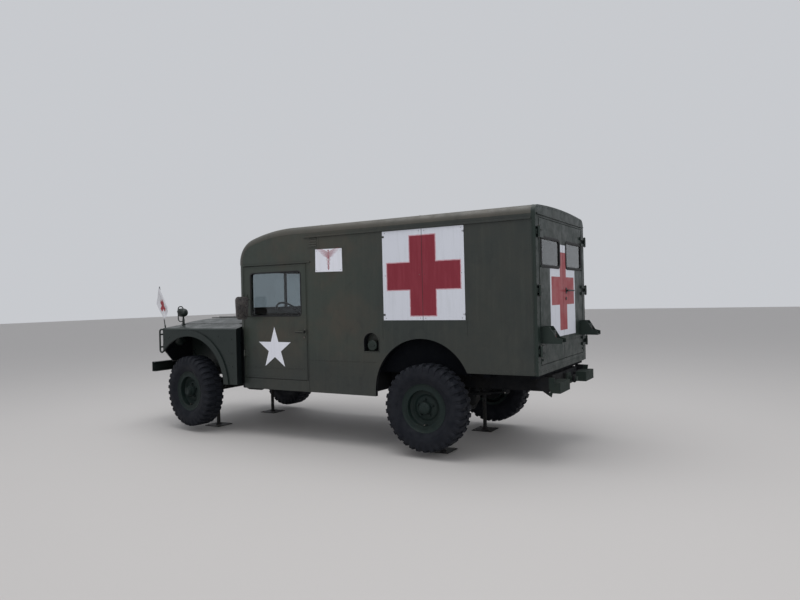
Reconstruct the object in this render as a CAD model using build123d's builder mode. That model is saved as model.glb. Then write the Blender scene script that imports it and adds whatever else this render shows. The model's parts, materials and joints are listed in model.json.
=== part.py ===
from build123d import *
import math
import os

# Military ambulance truck, 1 1/4-ton class, four-wheel drive, hanging on four display stands.
# Millimetres. +X is forward, +Y is the vehicle's left, +Z is up.
# The origin is on the ground, under the middle of the overall length and width.
# Heights with a name ending in _h are above the wheel axes, lengths ending in _dx are ahead of an axle.

os.makedirs("parts", exist_ok=True)

# Stance
wheelbase = 3200.0
track = 1708.0
front_overhang = 840.0
rear_overhang = 1305.0
tyre_radius = 425.0
stand_lift = 60.0
parked_steer = -7.8

overall_length = front_overhang + wheelbase + rear_overhang
front_axle_x = overall_length / 2 - front_overhang
rear_axle_x = front_axle_x - wheelbase
axle_z = tyre_radius + stand_lift
wheel_y = track / 2

# Clearances
panel_gap = 5.0
seat_gap = 0.3

# Body shell
body_half_width = 830.0
wall = 40.0
cab_face_x = front_axle_x - 705.0
rear_face_x = rear_axle_x - 1115.0
sill_z = axle_z + 67.0
rear_sill_z = axle_z + 343.0
floor_thickness = 30.0
bearer_height = 35.0
header_z = axle_z + 1498.0
gutter_z = axle_z + 1762.0
gutter_front_x = front_axle_x - 1700.0
gutter_depth = 15.0

# Roof: a crowned section that runs level, bends down over the cab and drops as the windscreen header
roof_top_z = axle_z + 1913.0
roof_crown = 30.0
roof_shoulder = 80.0
roof_skin = 30.0
roof_bend_radius = 2030.0
roof_bend_angle = 17.5
brow_radius = 309.0

# Cab doors
cab_door_front_x = front_axle_x - 795.0
cab_door_rear_x = front_axle_x - 1713.0
cab_door_bottom_z = axle_z + 192.0
cab_door_top_z = axle_z + 1473.0
cab_window = {"front": 105.0, "rear": 78.0, "bottom": 711.0, "top": 80.0}
glass = 6.0
window_corner = 35.0

# Windscreen
windscreen_width = 1400.0
windscreen_bottom_z = axle_z + 992.0
windscreen_top_z = axle_z + 1430.0
windscreen_corner = 40.0

# Rear doors
rear_post = 80.0
rear_door_half = body_half_width - rear_post
rear_door_bottom_z = axle_z + 433.0
rear_door_top_z = axle_z + 1773.0
rear_window_width = rear_door_half - 179.0
rear_window_height = 255.0
rear_window_y = rear_door_half / 2 + 25.0
rear_window_z = axle_z + 1466.0

# Wheel arches
rear_arch_radius = 536.0
rear_arch_x = rear_axle_x + 75.0
rear_arch_z = axle_z + 129.0
front_arch_radius = 590.0
front_arch_x = front_axle_x + 30.0
front_arch_z = axle_z + 78.0
arch_flare = 72.0
arch_flare_rise = 16.0
wheelhouse_y = body_half_width - 140.0
wheelhouse_top_z = axle_z + 668.0
sheet = 10.0

# Front end
nose_x = front_axle_x + 470.0
fender_half_width = 940.0
fender_bottom_z = axle_z + 112.0
fender_edge_z = axle_z + 763.0
fender_crown_z = axle_z + 803.0
fender_tail = 57.0
fender_tail_inner = 30.0
fender_edge_radius = 30.0
hood_half_width = 596.0
hood_rise = 55.0
hood_skin = 15.0
fender_ledge = 20.0
apron_y = 480.0
apron_bottom_z = axle_z + 250.0
cowl_length = 225.0
cowl_rear_rise = 60.0
front_panel = 18.0
grille_half_width = 430.0
grille_depth = 52.0
grille_bottom_z = axle_z + 372.0
grille_top_z = axle_z + 758.0
grille_slots = 12
slot_width = 34.0
headlamp_y = 690.0
headlamp_z = axle_z + 622.0
headlamp_radius = 95.0

# Chassis
rail_y = 390.0
rail_width = 60.0
rail_bottom_z = axle_z + 148.0
rail_top_z = axle_z + 308.0
rail_wall = 7.0
bumper_bottom_z = axle_z + 200.0
bumper_height = 124.0
bumper_depth = 60.0
bumper_wall = 8.0
bumper_half_length = 830.0
kingpin_y = 650.0
axle_tube = 45.0
ball_radius = 77.0
ball_slopes = (-70, -47, -23, 0, 23, 47, 70)
kingpin_radius = 12.0
kingpin_reach = 98.0
steering_arm = 175.0
spindle_radius = 36.0
brake_drum_radius = 150.0
wheel_sides = 28
lug_count = 28
ball_sides = 16
bar_sides = 10


def block(x, y, z, mode=Mode.ADD):
    """A square-edged solid between two values on each axis."""
    with Locations(((x[0] + x[1]) / 2, (y[0] + y[1]) / 2, (z[0] + z[1]) / 2)):
        Box(abs(x[1] - x[0]), abs(y[1] - y[0]), abs(z[1] - z[0]), mode=mode)


def side_prism(points, y, mode=Mode.ADD):
    """An outline in X and Z, drawn out between two values of Y."""
    with BuildSketch(Plane.XZ.offset(-max(y))) as outline:
        with BuildLine():
            Polyline(*points, close=True)
        make_face()
    extrude(outline.sketch, amount=max(y) - min(y), mode=mode)


def cross_prism(points, x, mode=Mode.ADD):
    """An outline in Y and Z, drawn out between two values of X."""
    with BuildSketch(Plane.YZ.offset(min(x))) as outline:
        with BuildLine():
            Polyline(*points, close=True)
        make_face()
    extrude(outline.sketch, amount=max(x) - min(x), mode=mode)


def rod(start, end, radius, mode=Mode.ADD, sides=0):
    """A bar from one point to another, round or with a number of flat sides."""
    run = Vector(*end) - Vector(*start)
    with BuildSketch(Plane(origin=start, z_dir=run)) as disc:
        if sides:
            RegularPolygon(radius, sides)
        else:
            Circle(radius)
    extrude(disc.sketch, amount=run.length, mode=mode)


def tube(points, bend, radius):
    """A many-sided bar along a path that cuts each corner across, 'bend' before and after it."""
    path_points = [points[0]]
    for before, corner, after in zip(points, points[1:], points[2:]):
        for towards in (before, after):
            run = (Vector(*towards) - Vector(*corner)).normalized()
            path_points.append(tuple(Vector(*corner) + run * bend))
    path_points.append(points[-1])
    with BuildLine() as path:
        Polyline(*path_points)
    with BuildSketch(path.line ^ 0) as section:
        RegularPolygon(radius, bar_sides)
    sweep(section.sketch, path=path.line, transition=Transition.RIGHT)


def ring_stack(outline, sides, centre=(0, 0, 0), mode=Mode.ADD):
    """Flat-sided rings about Y, one between each two (distance outward, radius) points of an outline."""
    faces = []
    for distance, radius in outline:
        origin = (centre[0], centre[1] + distance, centre[2])
        with BuildSketch(Plane(origin=origin, x_dir=(1, 0, 0), z_dir=(0, -1, 0))) as section:
            RegularPolygon(radius, sides)
        faces.append(section.sketch)
    loft(faces, ruled=True, mode=mode)


def ball(centre, radius, mode=Mode.ADD):
    """A ball of flat rings about Y, inside the sphere of that radius."""
    angles = [math.radians(slope) for slope in ball_slopes]
    ring_stack([(radius * math.sin(a), radius * math.cos(a)) for a in angles], ball_sides, centre, mode)


def save(piece, name):
    """Labels a finished piece and writes it."""
    piece.label = name
    export_step(piece, f"parts/{name}.step")


def roof_section(inset, depth):
    """The crowned outline of the roof, 'inset' inside its skin, drawn under the crown's top down to 'depth'."""
    half = body_half_width - inset
    edge = -roof_crown - inset
    with BuildSketch() as section:
        with BuildLine():
            ThreePointArc((-half, edge), (0, -inset), (half, edge))
            Polyline((half, edge), (half, -depth), (-half, -depth), (-half, edge))
        make_face()
        fillet(section.vertices().sort_by(Axis.Y)[-2:], roof_shoulder - inset)
    return section.sketch


def roof_plane(x, z, slope):
    """The plane of a roof section that faces forward and down by 'slope' degrees."""
    angle = math.radians(slope)
    return Plane(origin=(x, 0, z), x_dir=(0, 1, 0), z_dir=(math.cos(angle), 0, -math.sin(angle)))


# Roof path, worked back from the windscreen header
roof_front_x = cab_face_x + roof_crown
roof_drop = roof_crown + roof_shoulder
bend_sin = math.sin(math.radians(roof_bend_angle))
bend_cos = math.cos(math.radians(roof_bend_angle))
roof_bend_x = roof_front_x - brow_radius * (1 - bend_sin) - roof_bend_radius * bend_sin
roof_bend_z = roof_top_z - roof_bend_radius
brow_x = roof_front_x - brow_radius
brow_z = roof_top_z - roof_bend_radius * (1 - bend_cos) - brow_radius * bend_cos
rear_inner_x = rear_face_x + wall
wall_top_z = roof_top_z - roof_drop
inner_half_width = body_half_width - wall
post_rear_x = cab_door_front_x + panel_gap
floor_top_z = rear_sill_z + floor_thickness
cab_inner_x = cab_face_x - wall

roof_solid = roof_section(0, roof_drop)
roof_hollow = roof_section(roof_skin, roof_drop)
roof_ring = roof_solid - roof_hollow

# Roof
with BuildPart() as roof:
    with BuildSketch(roof_plane(rear_inner_x, roof_top_z, 0)):
        add(roof_ring)
    extrude(amount=roof_bend_x - rear_inner_x)
    with BuildSketch(roof_plane(roof_bend_x, roof_top_z, 0)):
        add(roof_ring)
    revolve(axis=Axis((roof_bend_x, 0, roof_bend_z), (0, 1, 0)), revolution_arc=roof_bend_angle)
    bend_end_x = roof_bend_x + roof_bend_radius * bend_sin
    bend_end_z = roof_bend_z + roof_bend_radius * bend_cos
    with BuildSketch(roof_plane(bend_end_x, bend_end_z, roof_bend_angle)):
        add(roof_ring)
    revolve(axis=Axis((brow_x, 0, brow_z), (0, 1, 0)), revolution_arc=90 - roof_bend_angle)
    with BuildSketch(roof_plane(roof_front_x, brow_z, 90)):
        add(roof_ring)
    extrude(amount=brow_z - header_z)
save(roof.part, "roof")


def roof_point(centre, radius, slope):
    """A point of the side wall's top edge, on an arc about one of the roof's two bend centres."""
    angle = math.radians(slope)
    return (centre[0] + radius * math.sin(angle), centre[1] + radius * math.cos(angle))


# Body sides
bend_centre = (roof_bend_x, roof_bend_z)
brow_centre = (brow_x, brow_z)
bend_inner = roof_bend_radius - roof_drop
brow_inner = brow_radius - roof_drop
bend_end = roof_point(bend_centre, bend_inner, roof_bend_angle)
wall_front_x = roof_front_x - roof_drop
door_top = cab_door_top_z + panel_gap
door_bottom = cab_door_bottom_z - panel_gap
door_rear = cab_door_rear_x - panel_gap

filler_x = front_axle_x - 2549.0
filler_width = 178.0
filler_bottom_z = axle_z + 528.0
filler_height = 190.0
filler_depth = 75.0
drip_rail = 12.0

for side, sign in (("left", 1), ("right", -1)):
    outer = sign * body_half_width
    inner = sign * inner_half_width
    with BuildPart() as body_side:
        with BuildSketch(Plane.XZ.offset(-max(outer, inner))):
            with BuildLine():
                Line((rear_inner_x, rear_sill_z), (rear_inner_x, wall_top_z))
                Line((rear_inner_x, wall_top_z), (roof_bend_x, wall_top_z))
                ThreePointArc(
                    (roof_bend_x, wall_top_z),
                    roof_point(bend_centre, bend_inner, roof_bend_angle / 2),
                    bend_end,
                )
                ThreePointArc(
                    bend_end,
                    roof_point(brow_centre, brow_inner, (90 + roof_bend_angle) / 2),
                    (wall_front_x, brow_z),
                )
                Polyline(
                    (wall_front_x, brow_z),
                    (wall_front_x, header_z),
                    (post_rear_x, header_z),
                    (post_rear_x, door_top),
                    (door_rear, door_top),
                    (door_rear, door_bottom),
                    (post_rear_x, door_bottom),
                    (post_rear_x, sill_z),
                    (rear_arch_x, sill_z),
                    (rear_arch_x, rear_sill_z),
                    (rear_inner_x, rear_sill_z),
                )
            make_face()
            with Locations((rear_arch_x, rear_arch_z)):
                Circle(rear_arch_radius, mode=Mode.SUBTRACT)
            with Locations((rear_arch_x, (rear_arch_z + sill_z) / 2 - 1)):
                Rectangle(2 * rear_arch_radius, rear_arch_z - sill_z + 2, mode=Mode.SUBTRACT)
        extrude(amount=wall)
        gutter_edge = outer + sign * gutter_depth
        block((rear_inner_x, gutter_front_x), (outer, gutter_edge), (gutter_z - 8, gutter_z))
        block((rear_inner_x, gutter_front_x), (gutter_edge - sign * 4, gutter_edge), (gutter_z, gutter_z + 10))
        rail_edge = outer + sign * drip_rail
        rail_z = (door_top + 6, door_top + 6 + drip_rail)
        block((door_rear - 60, post_rear_x), (outer, rail_edge), rail_z)
        if side == "left":
            arch = filler_width / 2
            bottom = filler_bottom_z
            top = filler_bottom_z + filler_height
            for inset, depth, mode in ((-3, filler_depth + 3, Mode.ADD), (0, filler_depth, Mode.SUBTRACT)):
                with BuildSketch(Plane.XZ.offset(-outer)):
                    with BuildLine():
                        Polyline(
                            (filler_x - arch + inset, top - arch),
                            (filler_x - arch + inset, bottom + inset),
                            (filler_x + arch - inset, bottom + inset),
                            (filler_x + arch - inset, top - arch),
                        )
                        ThreePointArc(
                            (filler_x + arch - inset, top - arch),
                            (filler_x, top - inset),
                            (filler_x - arch + inset, top - arch),
                        )
                    make_face()
                extrude(amount=depth, mode=mode)
            rod((filler_x, outer - filler_depth - 1, filler_bottom_z + 62), (filler_x, outer - 22, filler_bottom_z + 62), 55)
    save(body_side.part, f"{side}_side")

# Cab front: A-posts, windscreen frame, firewall and cowl
cowl_front_x = cab_face_x + cowl_length
hood_edge_z = fender_crown_z + 3
hood_rear_x = cowl_front_x + 8
hood_hinge_x = cowl_front_x + 4
hood_hinge_z = fender_crown_z + hood_rise + 7
hood_barrel = 9.0
with BuildPart() as cab_front:
    with BuildSketch(Plane.XY.offset(sill_z)) as plan:
        with Locations(((post_rear_x + cab_face_x) / 2, 0)):
            Rectangle(cab_face_x - post_rear_x, 2 * body_half_width)
        fillet(plan.vertices().sort_by(Axis.X)[-2:], roof_shoulder)
        with Locations(((post_rear_x + cab_inner_x) / 2, 0)):
            Rectangle(cab_inner_x - post_rear_x, 2 * inner_half_width, mode=Mode.SUBTRACT)
    extrude(amount=header_z - sill_z)
    block((cab_inner_x - 1, cab_face_x + 1), (-700, 700), (sill_z - 1, rear_sill_z), Mode.SUBTRACT)
    windscreen_height = windscreen_top_z - windscreen_bottom_z
    windscreen_mid_z = (windscreen_top_z + windscreen_bottom_z) / 2
    with BuildSketch(Plane.YZ.offset(cab_inner_x - 1)):
        with Locations((0, windscreen_mid_z)):
            RectangleRounded(windscreen_width, windscreen_height, windscreen_corner)
    extrude(amount=wall + 2, mode=Mode.SUBTRACT)
    cowl_bottom_z = fender_crown_z - fender_ledge + seat_gap
    for cowl_x, edge_z, middle_z in (
        (cab_face_x, fender_crown_z + cowl_rear_rise, fender_crown_z + cowl_rear_rise + 30),
        (cowl_front_x, hood_edge_z, fender_crown_z + hood_rise),
    ):
        with BuildSketch(Plane.YZ.offset(cowl_x)):
            with BuildLine():
                ThreePointArc((-hood_half_width, edge_z), (0, middle_z), (hood_half_width, edge_z))
                Polyline(
                    (hood_half_width, edge_z),
                    (hood_half_width, cowl_bottom_z),
                    (-hood_half_width, cowl_bottom_z),
                    (-hood_half_width, edge_z),
                )
            make_face()
    loft(ruled=True)
    for sign in (1, -1):
        for near, far in ((205, 229.5), (270.5, 295)):
            span = (sign * near, sign * far)
            rod((hood_hinge_x, span[0], hood_hinge_z), (hood_hinge_x, span[1], hood_hinge_z), hood_barrel)
            block((cowl_front_x - 40, hood_hinge_x), span, (fender_crown_z + 20, hood_hinge_z + hood_barrel - 3))
    block((cab_face_x, cowl_front_x), (-apron_y + seat_gap, apron_y - seat_gap), (cowl_bottom_z - 55, cowl_bottom_z + 1))
save(cab_front.part, "cab_front")

with BuildPart() as windscreen:
    with BuildSketch(Plane.YZ.offset((cab_inner_x + cab_face_x) / 2 - glass / 2)):
        with Locations((0, windscreen_mid_z)):
            pane = (windscreen_width - 2 * seat_gap, windscreen_height - 2 * seat_gap)
            RectangleRounded(*pane, windscreen_corner - seat_gap)
    extrude(amount=glass)
save(windscreen.part, "windscreen_glass")

# Rear wall: the closed end of the body, cut for the two doors
rear_hinge_y = rear_door_half + 50
rear_hinge_x = rear_face_x - 21
rear_hinge_radius = 12.0
rear_hinge_heights = (axle_z + 560, axle_z + 1111, axle_z + 1640)
with BuildPart() as rear_wall:
    with BuildSketch(roof_plane(rear_face_x, roof_top_z, 0)):
        add(roof_section(0, roof_top_z - rear_sill_z))
    extrude(amount=wall)
    opening_z = (rear_door_bottom_z - panel_gap, rear_door_top_z + panel_gap)
    block((rear_face_x - 1, rear_inner_x + 1), (-rear_door_half, rear_door_half), opening_z, Mode.SUBTRACT)
    cap_z = rear_door_top_z + panel_gap + 20
    block((rear_face_x - drip_rail, rear_face_x), (-body_half_width + 30, body_half_width - 30), (cap_z, cap_z + drip_rail))
    for sign in (1, -1):
        pin_y = sign * rear_hinge_y
        for hinge_z in rear_hinge_heights:
            knuckle_z = (hinge_z - 20, hinge_z + 20)
            block((rear_face_x - 9, rear_face_x), (pin_y - 25, pin_y + 25), knuckle_z)
            rod((rear_hinge_x, pin_y, knuckle_z[0]), (rear_hinge_x, pin_y, knuckle_z[1]), rear_hinge_radius)
            block((rear_hinge_x, rear_face_x), (pin_y - 6, pin_y + 6), knuckle_z)
save(rear_wall.part, "rear_wall")

# Floor on its crossbearers, with the wheel houses
arch_reach = rear_arch_radius + 10
with BuildPart() as floor:
    block((rear_inner_x, cab_inner_x), (-inner_half_width, inner_half_width), (rear_sill_z, floor_top_z))
    for bearer_dx in (950, 1500, 2000, 2450, 3800, 4250):
        bearer_x = (front_axle_x - bearer_dx - 30, front_axle_x - bearer_dx + 30)
        block(bearer_x, (-inner_half_width, inner_half_width), (rear_sill_z - bearer_height, rear_sill_z))
    block((rear_arch_x - 30, rear_arch_x + 30), (-660, 660), (rear_sill_z - bearer_height, rear_sill_z))
    for sign in (1, -1):
        far = sign * (inner_half_width + 1)
        for radius, near, mode in (
            (arch_reach + sheet, sign * (wheelhouse_y - sheet), Mode.ADD),
            (arch_reach, sign * wheelhouse_y, Mode.SUBTRACT),
        ):
            far_y = sign * inner_half_width if mode == Mode.ADD else far
            with BuildSketch(Plane.XZ.offset(-max(near, far_y))):
                with Locations((rear_arch_x, rear_arch_z)):
                    Circle(radius)
                with Locations((rear_arch_x, rear_arch_z - radius)):
                    Rectangle(3 * radius, 2 * (radius + rear_sill_z - rear_arch_z), mode=Mode.SUBTRACT)
                with Locations((rear_arch_x, rear_sill_z)):
                    Rectangle(2 * math.sqrt(radius ** 2 - (rear_sill_z - rear_arch_z) ** 2), 2 * bearer_height)
            extrude(amount=abs(far_y - near), mode=mode)
save(floor.part, "floor")

# Partition behind the cab seats, with its doorway
partition_x = cab_door_rear_x - 45.0
with BuildPart() as partition:
    with BuildSketch(roof_plane(partition_x, roof_top_z, 0)):
        add(roof_section(wall, roof_top_z - floor_top_z))
        with Locations((0, floor_top_z + 600 - roof_top_z)):
            Rectangle(620, 1200.0, mode=Mode.SUBTRACT)
    extrude(amount=25)
save(partition.part, "partition")

# Seat frames: two cab seat boxes and two patient benches over the wheel houses
bench_front_x = partition_x - 5
bench_rear_x = rear_inner_x + 5
bench_z = filler_bottom_z + filler_height + 8
bench_inner_y = 430.0
cab_seat_y = 420.0
cab_seat_half = 240.0
cab_seat_x = (front_axle_x - 1700, front_axle_x - 1205)
with BuildPart() as seat_frames:
    for sign in (1, -1):
        seat_y = (sign * (cab_seat_y - cab_seat_half + 20), sign * (cab_seat_y + cab_seat_half - 20))
        block((cab_seat_x[0], cab_seat_x[1] - 20), seat_y, (floor_top_z, floor_top_z + 165))
        block((cab_seat_x[0] + 10, cab_seat_x[1] - 30), (seat_y[0] + sign * 10, seat_y[1] - sign * 10), (floor_top_z - 1, floor_top_z + 150), Mode.SUBTRACT)
        bench_y = (sign * bench_inner_y, sign * (inner_half_width - 2))
        block((bench_rear_x, bench_front_x), bench_y, (bench_z, bench_z + 16))
        block((bench_rear_x, bench_front_x), (sign * bench_inner_y, sign * (bench_inner_y + sheet)), (floor_top_z, bench_z))
save(seat_frames.part, "seat_frames")

cushion = 110.0
bench_cushion = 70.0
with BuildPart() as seat_cushions:
    for sign in (1, -1):
        seat_y = (sign * (cab_seat_y - cab_seat_half), sign * (cab_seat_y + cab_seat_half))
        block((cab_seat_x[0] + 85, cab_seat_x[1]), seat_y, (floor_top_z + 165 + seat_gap, floor_top_z + 165 + cushion))
        block((partition_x + 25 + seat_gap, cab_seat_x[0] + 85 - seat_gap), seat_y, (floor_top_z + 180, floor_top_z + 690))
        bench_y = (sign * bench_inner_y, sign * (inner_half_width - 10))
        block((bench_rear_x + 5, bench_front_x - 5), bench_y, (bench_z + 16 + seat_gap, bench_z + 16 + bench_cushion))
    chamfer(seat_cushions.edges(), 16)
save(seat_cushions.part, "seat_cushions")

# Dashboard and steering column
steering_x = front_axle_x - 1150.0
steering_y = 420.0
steering_z = axle_z + 892.0
column_tilt = 40.0
steering_radius = 205.0
dash_z = axle_z + 730.0
column_dir = Vector(math.cos(math.radians(column_tilt)), 0, -math.sin(math.radians(column_tilt)))
steering_centre = Vector(steering_x, steering_y, steering_z)
with BuildPart() as dashboard:
    side_prism(
        [
            (cab_inner_x, dash_z),
            (cab_inner_x, dash_z + 190),
            (cab_inner_x - 90, dash_z + 190),
            (cab_inner_x - 125, dash_z + 150),
            (cab_inner_x - 110, dash_z),
        ],
        (-inner_half_width + 2, inner_half_width - 2),
    )
    column_top = steering_centre + column_dir * (20 + seat_gap)
    column_run = (cab_inner_x - 22 - steering_x) / column_dir.X
    column_end = steering_centre + column_dir * column_run
    rod(tuple(column_top), tuple(column_end), 26, sides=bar_sides)
    bracket_x = cab_inner_x - 95
    bracket_z = steering_z + (bracket_x - steering_x) * column_dir.Z / column_dir.X
    block((bracket_x - 15, bracket_x + 15), (steering_y - 16, steering_y + 16), (bracket_z, dash_z + 5))
    block((cab_inner_x - 45, cab_inner_x), (steering_y - 45, steering_y + 45), (column_end.Z - 45, column_end.Z + 45))
save(dashboard.part, "dashboard")

with BuildPart() as steering_wheel:
    with BuildSketch(Plane.XZ):
        with Locations((steering_radius, 0)):
            RegularPolygon(12, 8)
    revolve(axis=Axis.Z)
    with Locations((0, 0, 2)):
        Cylinder(34, 44)
    for spoke in range(3):
        turn = math.radians(90 + 120 * spoke)
        rod((0, 0, 0), (steering_radius * math.cos(turn), steering_radius * math.sin(turn), 0), 9, sides=bar_sides)
steering_plane = Plane(origin=steering_centre, x_dir=(0, 1, 0), z_dir=-column_dir)
save(steering_wheel.part.moved(steering_plane.location), "steering_wheel")

# Front fenders with flared arches. Outboard of the cab, each ends in a slanting tail behind the cab's face
fender_riser_y = hood_half_width + 6
tail_y = body_half_width + panel_gap
tail_x = cab_face_x - fender_tail


def fender_section(sign, inset, floor_z):
    """The fender's outline across the vehicle, 'inset' inside its skin, open to 'floor_z'."""
    with BuildSketch(Plane.YZ.offset(tail_x)) as section:
        with BuildLine():
            Polyline(
                (sign * (fender_half_width - inset), floor_z),
                (sign * (fender_half_width - inset), fender_edge_z - inset),
                (sign * (fender_riser_y + inset), fender_crown_z - inset),
                (sign * (fender_riser_y + inset), fender_crown_z - fender_ledge - inset),
                (sign * (apron_y + inset), fender_crown_z - fender_ledge - inset),
                (sign * (apron_y + inset), floor_z),
                close=True,
            )
        make_face()
        outer_corners = section.vertices().sort_by(Axis.X, reverse=sign > 0)[:2]
        fillet(outer_corners.sort_by(Axis.Y)[-1], fender_edge_radius - inset)
    return section.sketch


def plan_prism(points, z, mode=Mode.ADD):
    """An outline in X and Y, drawn up between two heights."""
    with BuildSketch(Plane.XY.offset(z[0])) as outline:
        with BuildLine():
            Polyline(*points, close=True)
        make_face()
    extrude(outline.sketch, amount=z[1] - z[0], mode=mode)


def fender_body(sign, inset, floor_z):
    """The fender's whole form, 'inset' inside its skin, cut to clear the cab behind it."""
    with BuildPart() as body:
        extrude(fender_section(sign, inset, floor_z), amount=nose_x + (1 if inset else 0) - tail_x)
        plan_prism(
            [
                (tail_x - 1, sign * (apron_y - 1)),
                (cab_face_x + inset, sign * (apron_y - 1)),
                (cab_face_x + inset, sign * (tail_y + inset)),
                (cab_face_x - fender_tail_inner + inset, sign * (tail_y + inset)),
                (tail_x + inset, sign * (fender_half_width + 1)),
                (tail_x - 1, sign * (fender_half_width + 1)),
            ],
            (floor_z - 1, fender_crown_z + 1),
            Mode.SUBTRACT,
        )
    return body.part


fender_shells = [
    fender_body(sign, 0, fender_bottom_z) - fender_body(sign, sheet, fender_bottom_z - 1) for sign in (1, -1)
]
with BuildPart() as front_fenders:
    for sign, shell in zip((1, -1), fender_shells):
        add(shell)
        wing = ((cab_face_x - 1, nose_x + 1), (sign * (apron_y - 1), sign * 705), (fender_bottom_z - 1, apron_bottom_z))
        block(*wing, Mode.SUBTRACT)
        with BuildSketch(Plane.XZ.offset(-max(sign * 900, sign * 1000))):
            with Locations((front_arch_x, front_arch_z)):
                Circle(front_arch_radius)
        extrude(amount=100, mode=Mode.SUBTRACT)
        lip_y = (sign * (fender_half_width - 1), sign * (fender_half_width + arch_flare_rise))
        with BuildSketch(Plane.XZ.offset(-max(lip_y))):
            with Locations((front_arch_x, front_arch_z)):
                Circle(front_arch_radius + arch_flare)
                Circle(front_arch_radius, mode=Mode.SUBTRACT)
            with Locations((front_arch_x, fender_bottom_z - front_arch_radius)):
                Rectangle(3 * front_arch_radius, 2 * front_arch_radius, mode=Mode.SUBTRACT)
            with Locations((nose_x + front_arch_radius, front_arch_z), (tail_x - front_arch_radius, front_arch_z)):
                Rectangle(2 * front_arch_radius, 3 * front_arch_radius, mode=Mode.SUBTRACT)
        extrude(amount=arch_flare_rise + 1)
save(front_fenders.part, "front_fenders")

# Front panel: headlamp holes and the slotted grille standing ahead of it
panel_edge_z = axle_z + 499.0
panel_low_z = axle_z + 340.0
with BuildPart() as grille_panel:
    half_panel = [
        (0, panel_low_z),
        (fender_half_width - 140, panel_low_z),
        (fender_half_width, panel_edge_z),
        (fender_half_width, fender_edge_z),
        (fender_riser_y, fender_crown_z),
        (fender_riser_y, fender_crown_z - 22),
        (0, fender_crown_z - 22),
    ]
    cross_prism(half_panel + [(-y, z) for y, z in reversed(half_panel[1:-1])], (nose_x, nose_x + front_panel))
    grille_z = (grille_bottom_z, grille_top_z)
    block((nose_x, nose_x + front_panel + grille_depth), (-grille_half_width, grille_half_width), grille_z)
    with BuildSketch(Plane.YZ.offset(nose_x - 1)):
        with Locations((headlamp_y, headlamp_z), (-headlamp_y, headlamp_z)):
            Circle(headlamp_radius)
    extrude(amount=front_panel + 2, mode=Mode.SUBTRACT)
    inner_y = grille_half_width - 12
    block((nose_x - 1, nose_x + front_panel + grille_depth - 12), (-inner_y, inner_y), (grille_z[0] + 12, grille_z[1] - 12), Mode.SUBTRACT)
    slot_pitch = (2 * grille_half_width - 60) / grille_slots
    with BuildSketch(Plane.YZ.offset(nose_x + front_panel)):
        with Locations((0, (grille_bottom_z + grille_top_z) / 2)):
            with GridLocations(slot_pitch, 0, grille_slots, 1):
                RectangleRounded(slot_width, grille_top_z - grille_bottom_z - 70, slot_width / 2 - 1)
    extrude(amount=grille_depth + 1, mode=Mode.SUBTRACT)
save(grille_panel.part, "grille_panel")

# Lamps: two headlamps and the blackout drive lamp with its hoop on the left fender
blackout_y = 660.0
blackout_x = front_axle_x + 440.0
blackout_z = axle_z + 951.0
with BuildPart() as lamps:
    for sign in (1, -1):
        rod((nose_x - 60, sign * headlamp_y, headlamp_z), (nose_x + front_panel + 6, sign * headlamp_y, headlamp_z), headlamp_radius - seat_gap)
        rod((nose_x + front_panel + seat_gap, sign * headlamp_y, headlamp_z), (nose_x + front_panel + 16, sign * headlamp_y, headlamp_z), headlamp_radius + 14)
    stem_foot = fender_crown_z - 4.7
    stem_x = blackout_x - 10
    rod((blackout_x - 65, blackout_y, blackout_z), (blackout_x + 45, blackout_y, blackout_z), 55)
    rod((stem_x, blackout_y, stem_foot), (stem_x, blackout_y, blackout_z), 16, sides=bar_sides)
    hoop_x = blackout_x + 85
    hoop_z = (blackout_z - 115, blackout_z + 78)
    tube(
        [
            (stem_x, blackout_y, hoop_z[0]),
            (hoop_x, blackout_y, hoop_z[0]),
            (hoop_x, blackout_y, hoop_z[1]),
            (stem_x, blackout_y, hoop_z[1]),
            (stem_x, blackout_y, blackout_z + 40),
        ],
        28,
        7,
    )
save(lamps.part, "lamps")

# Hood: crowned across, low at its nose, hinged at the cowl
hood_front_x = nose_x + front_panel + 12


def hood_body(inset):
    with BuildPart() as body:
        half = hood_half_width - inset
        with BuildSketch(Plane.YZ.offset(hood_rear_x + inset)):
            with BuildLine():
                ThreePointArc((-half, hood_edge_z - inset), (0, fender_crown_z + hood_rise - inset), (half, hood_edge_z - inset))
                Polyline(
                    (half, hood_edge_z - inset),
                    (half, fender_crown_z - hood_skin - inset),
                    (-half, fender_crown_z - hood_skin - inset),
                    (-half, hood_edge_z - inset),
                )
            make_face()
        extrude(amount=hood_front_x - hood_rear_x - 2 * inset)
    return body.part


hood_hollow = hood_body(hood_skin)
with BuildPart() as hood:
    add(hood_body(0))
    add(hood_hollow, mode=Mode.SUBTRACT)
    for sign in (1, -1):
        span = (sign * 230, sign * 270)
        rod((hood_hinge_x, span[0], hood_hinge_z), (hood_hinge_x, span[1], hood_hinge_z), hood_barrel)
        block((hood_hinge_x, hood_rear_x + 40), span, (fender_crown_z + 30, hood_hinge_z + hood_barrel - 3))
save(hood.part, "hood")

# Front bumper: a channel, open to the rear
bumper_face_x = front_axle_x + front_overhang
with BuildPart() as front_bumper:
    z0 = bumper_bottom_z
    z1 = bumper_bottom_z + bumper_height
    back = bumper_face_x - bumper_depth
    web = bumper_face_x - bumper_wall
    side_prism(
        [
            (back, z0), (bumper_face_x, z0), (bumper_face_x, z1), (back, z1),
            (back, z1 - bumper_wall), (web, z1 - bumper_wall), (web, z0 + bumper_wall), (back, z0 + bumper_wall),
        ],
        (-bumper_half_length, bumper_half_length),
    )
    rod((web - 1, 150, z0 + 62), (bumper_face_x + 1, 150, z0 + 62), 9, Mode.SUBTRACT)
    rod((web - 1, -150, z0 + 62), (bumper_face_x + 1, -150, z0 + 62), 9, Mode.SUBTRACT)
save(front_bumper.part, "front_bumper")

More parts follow.
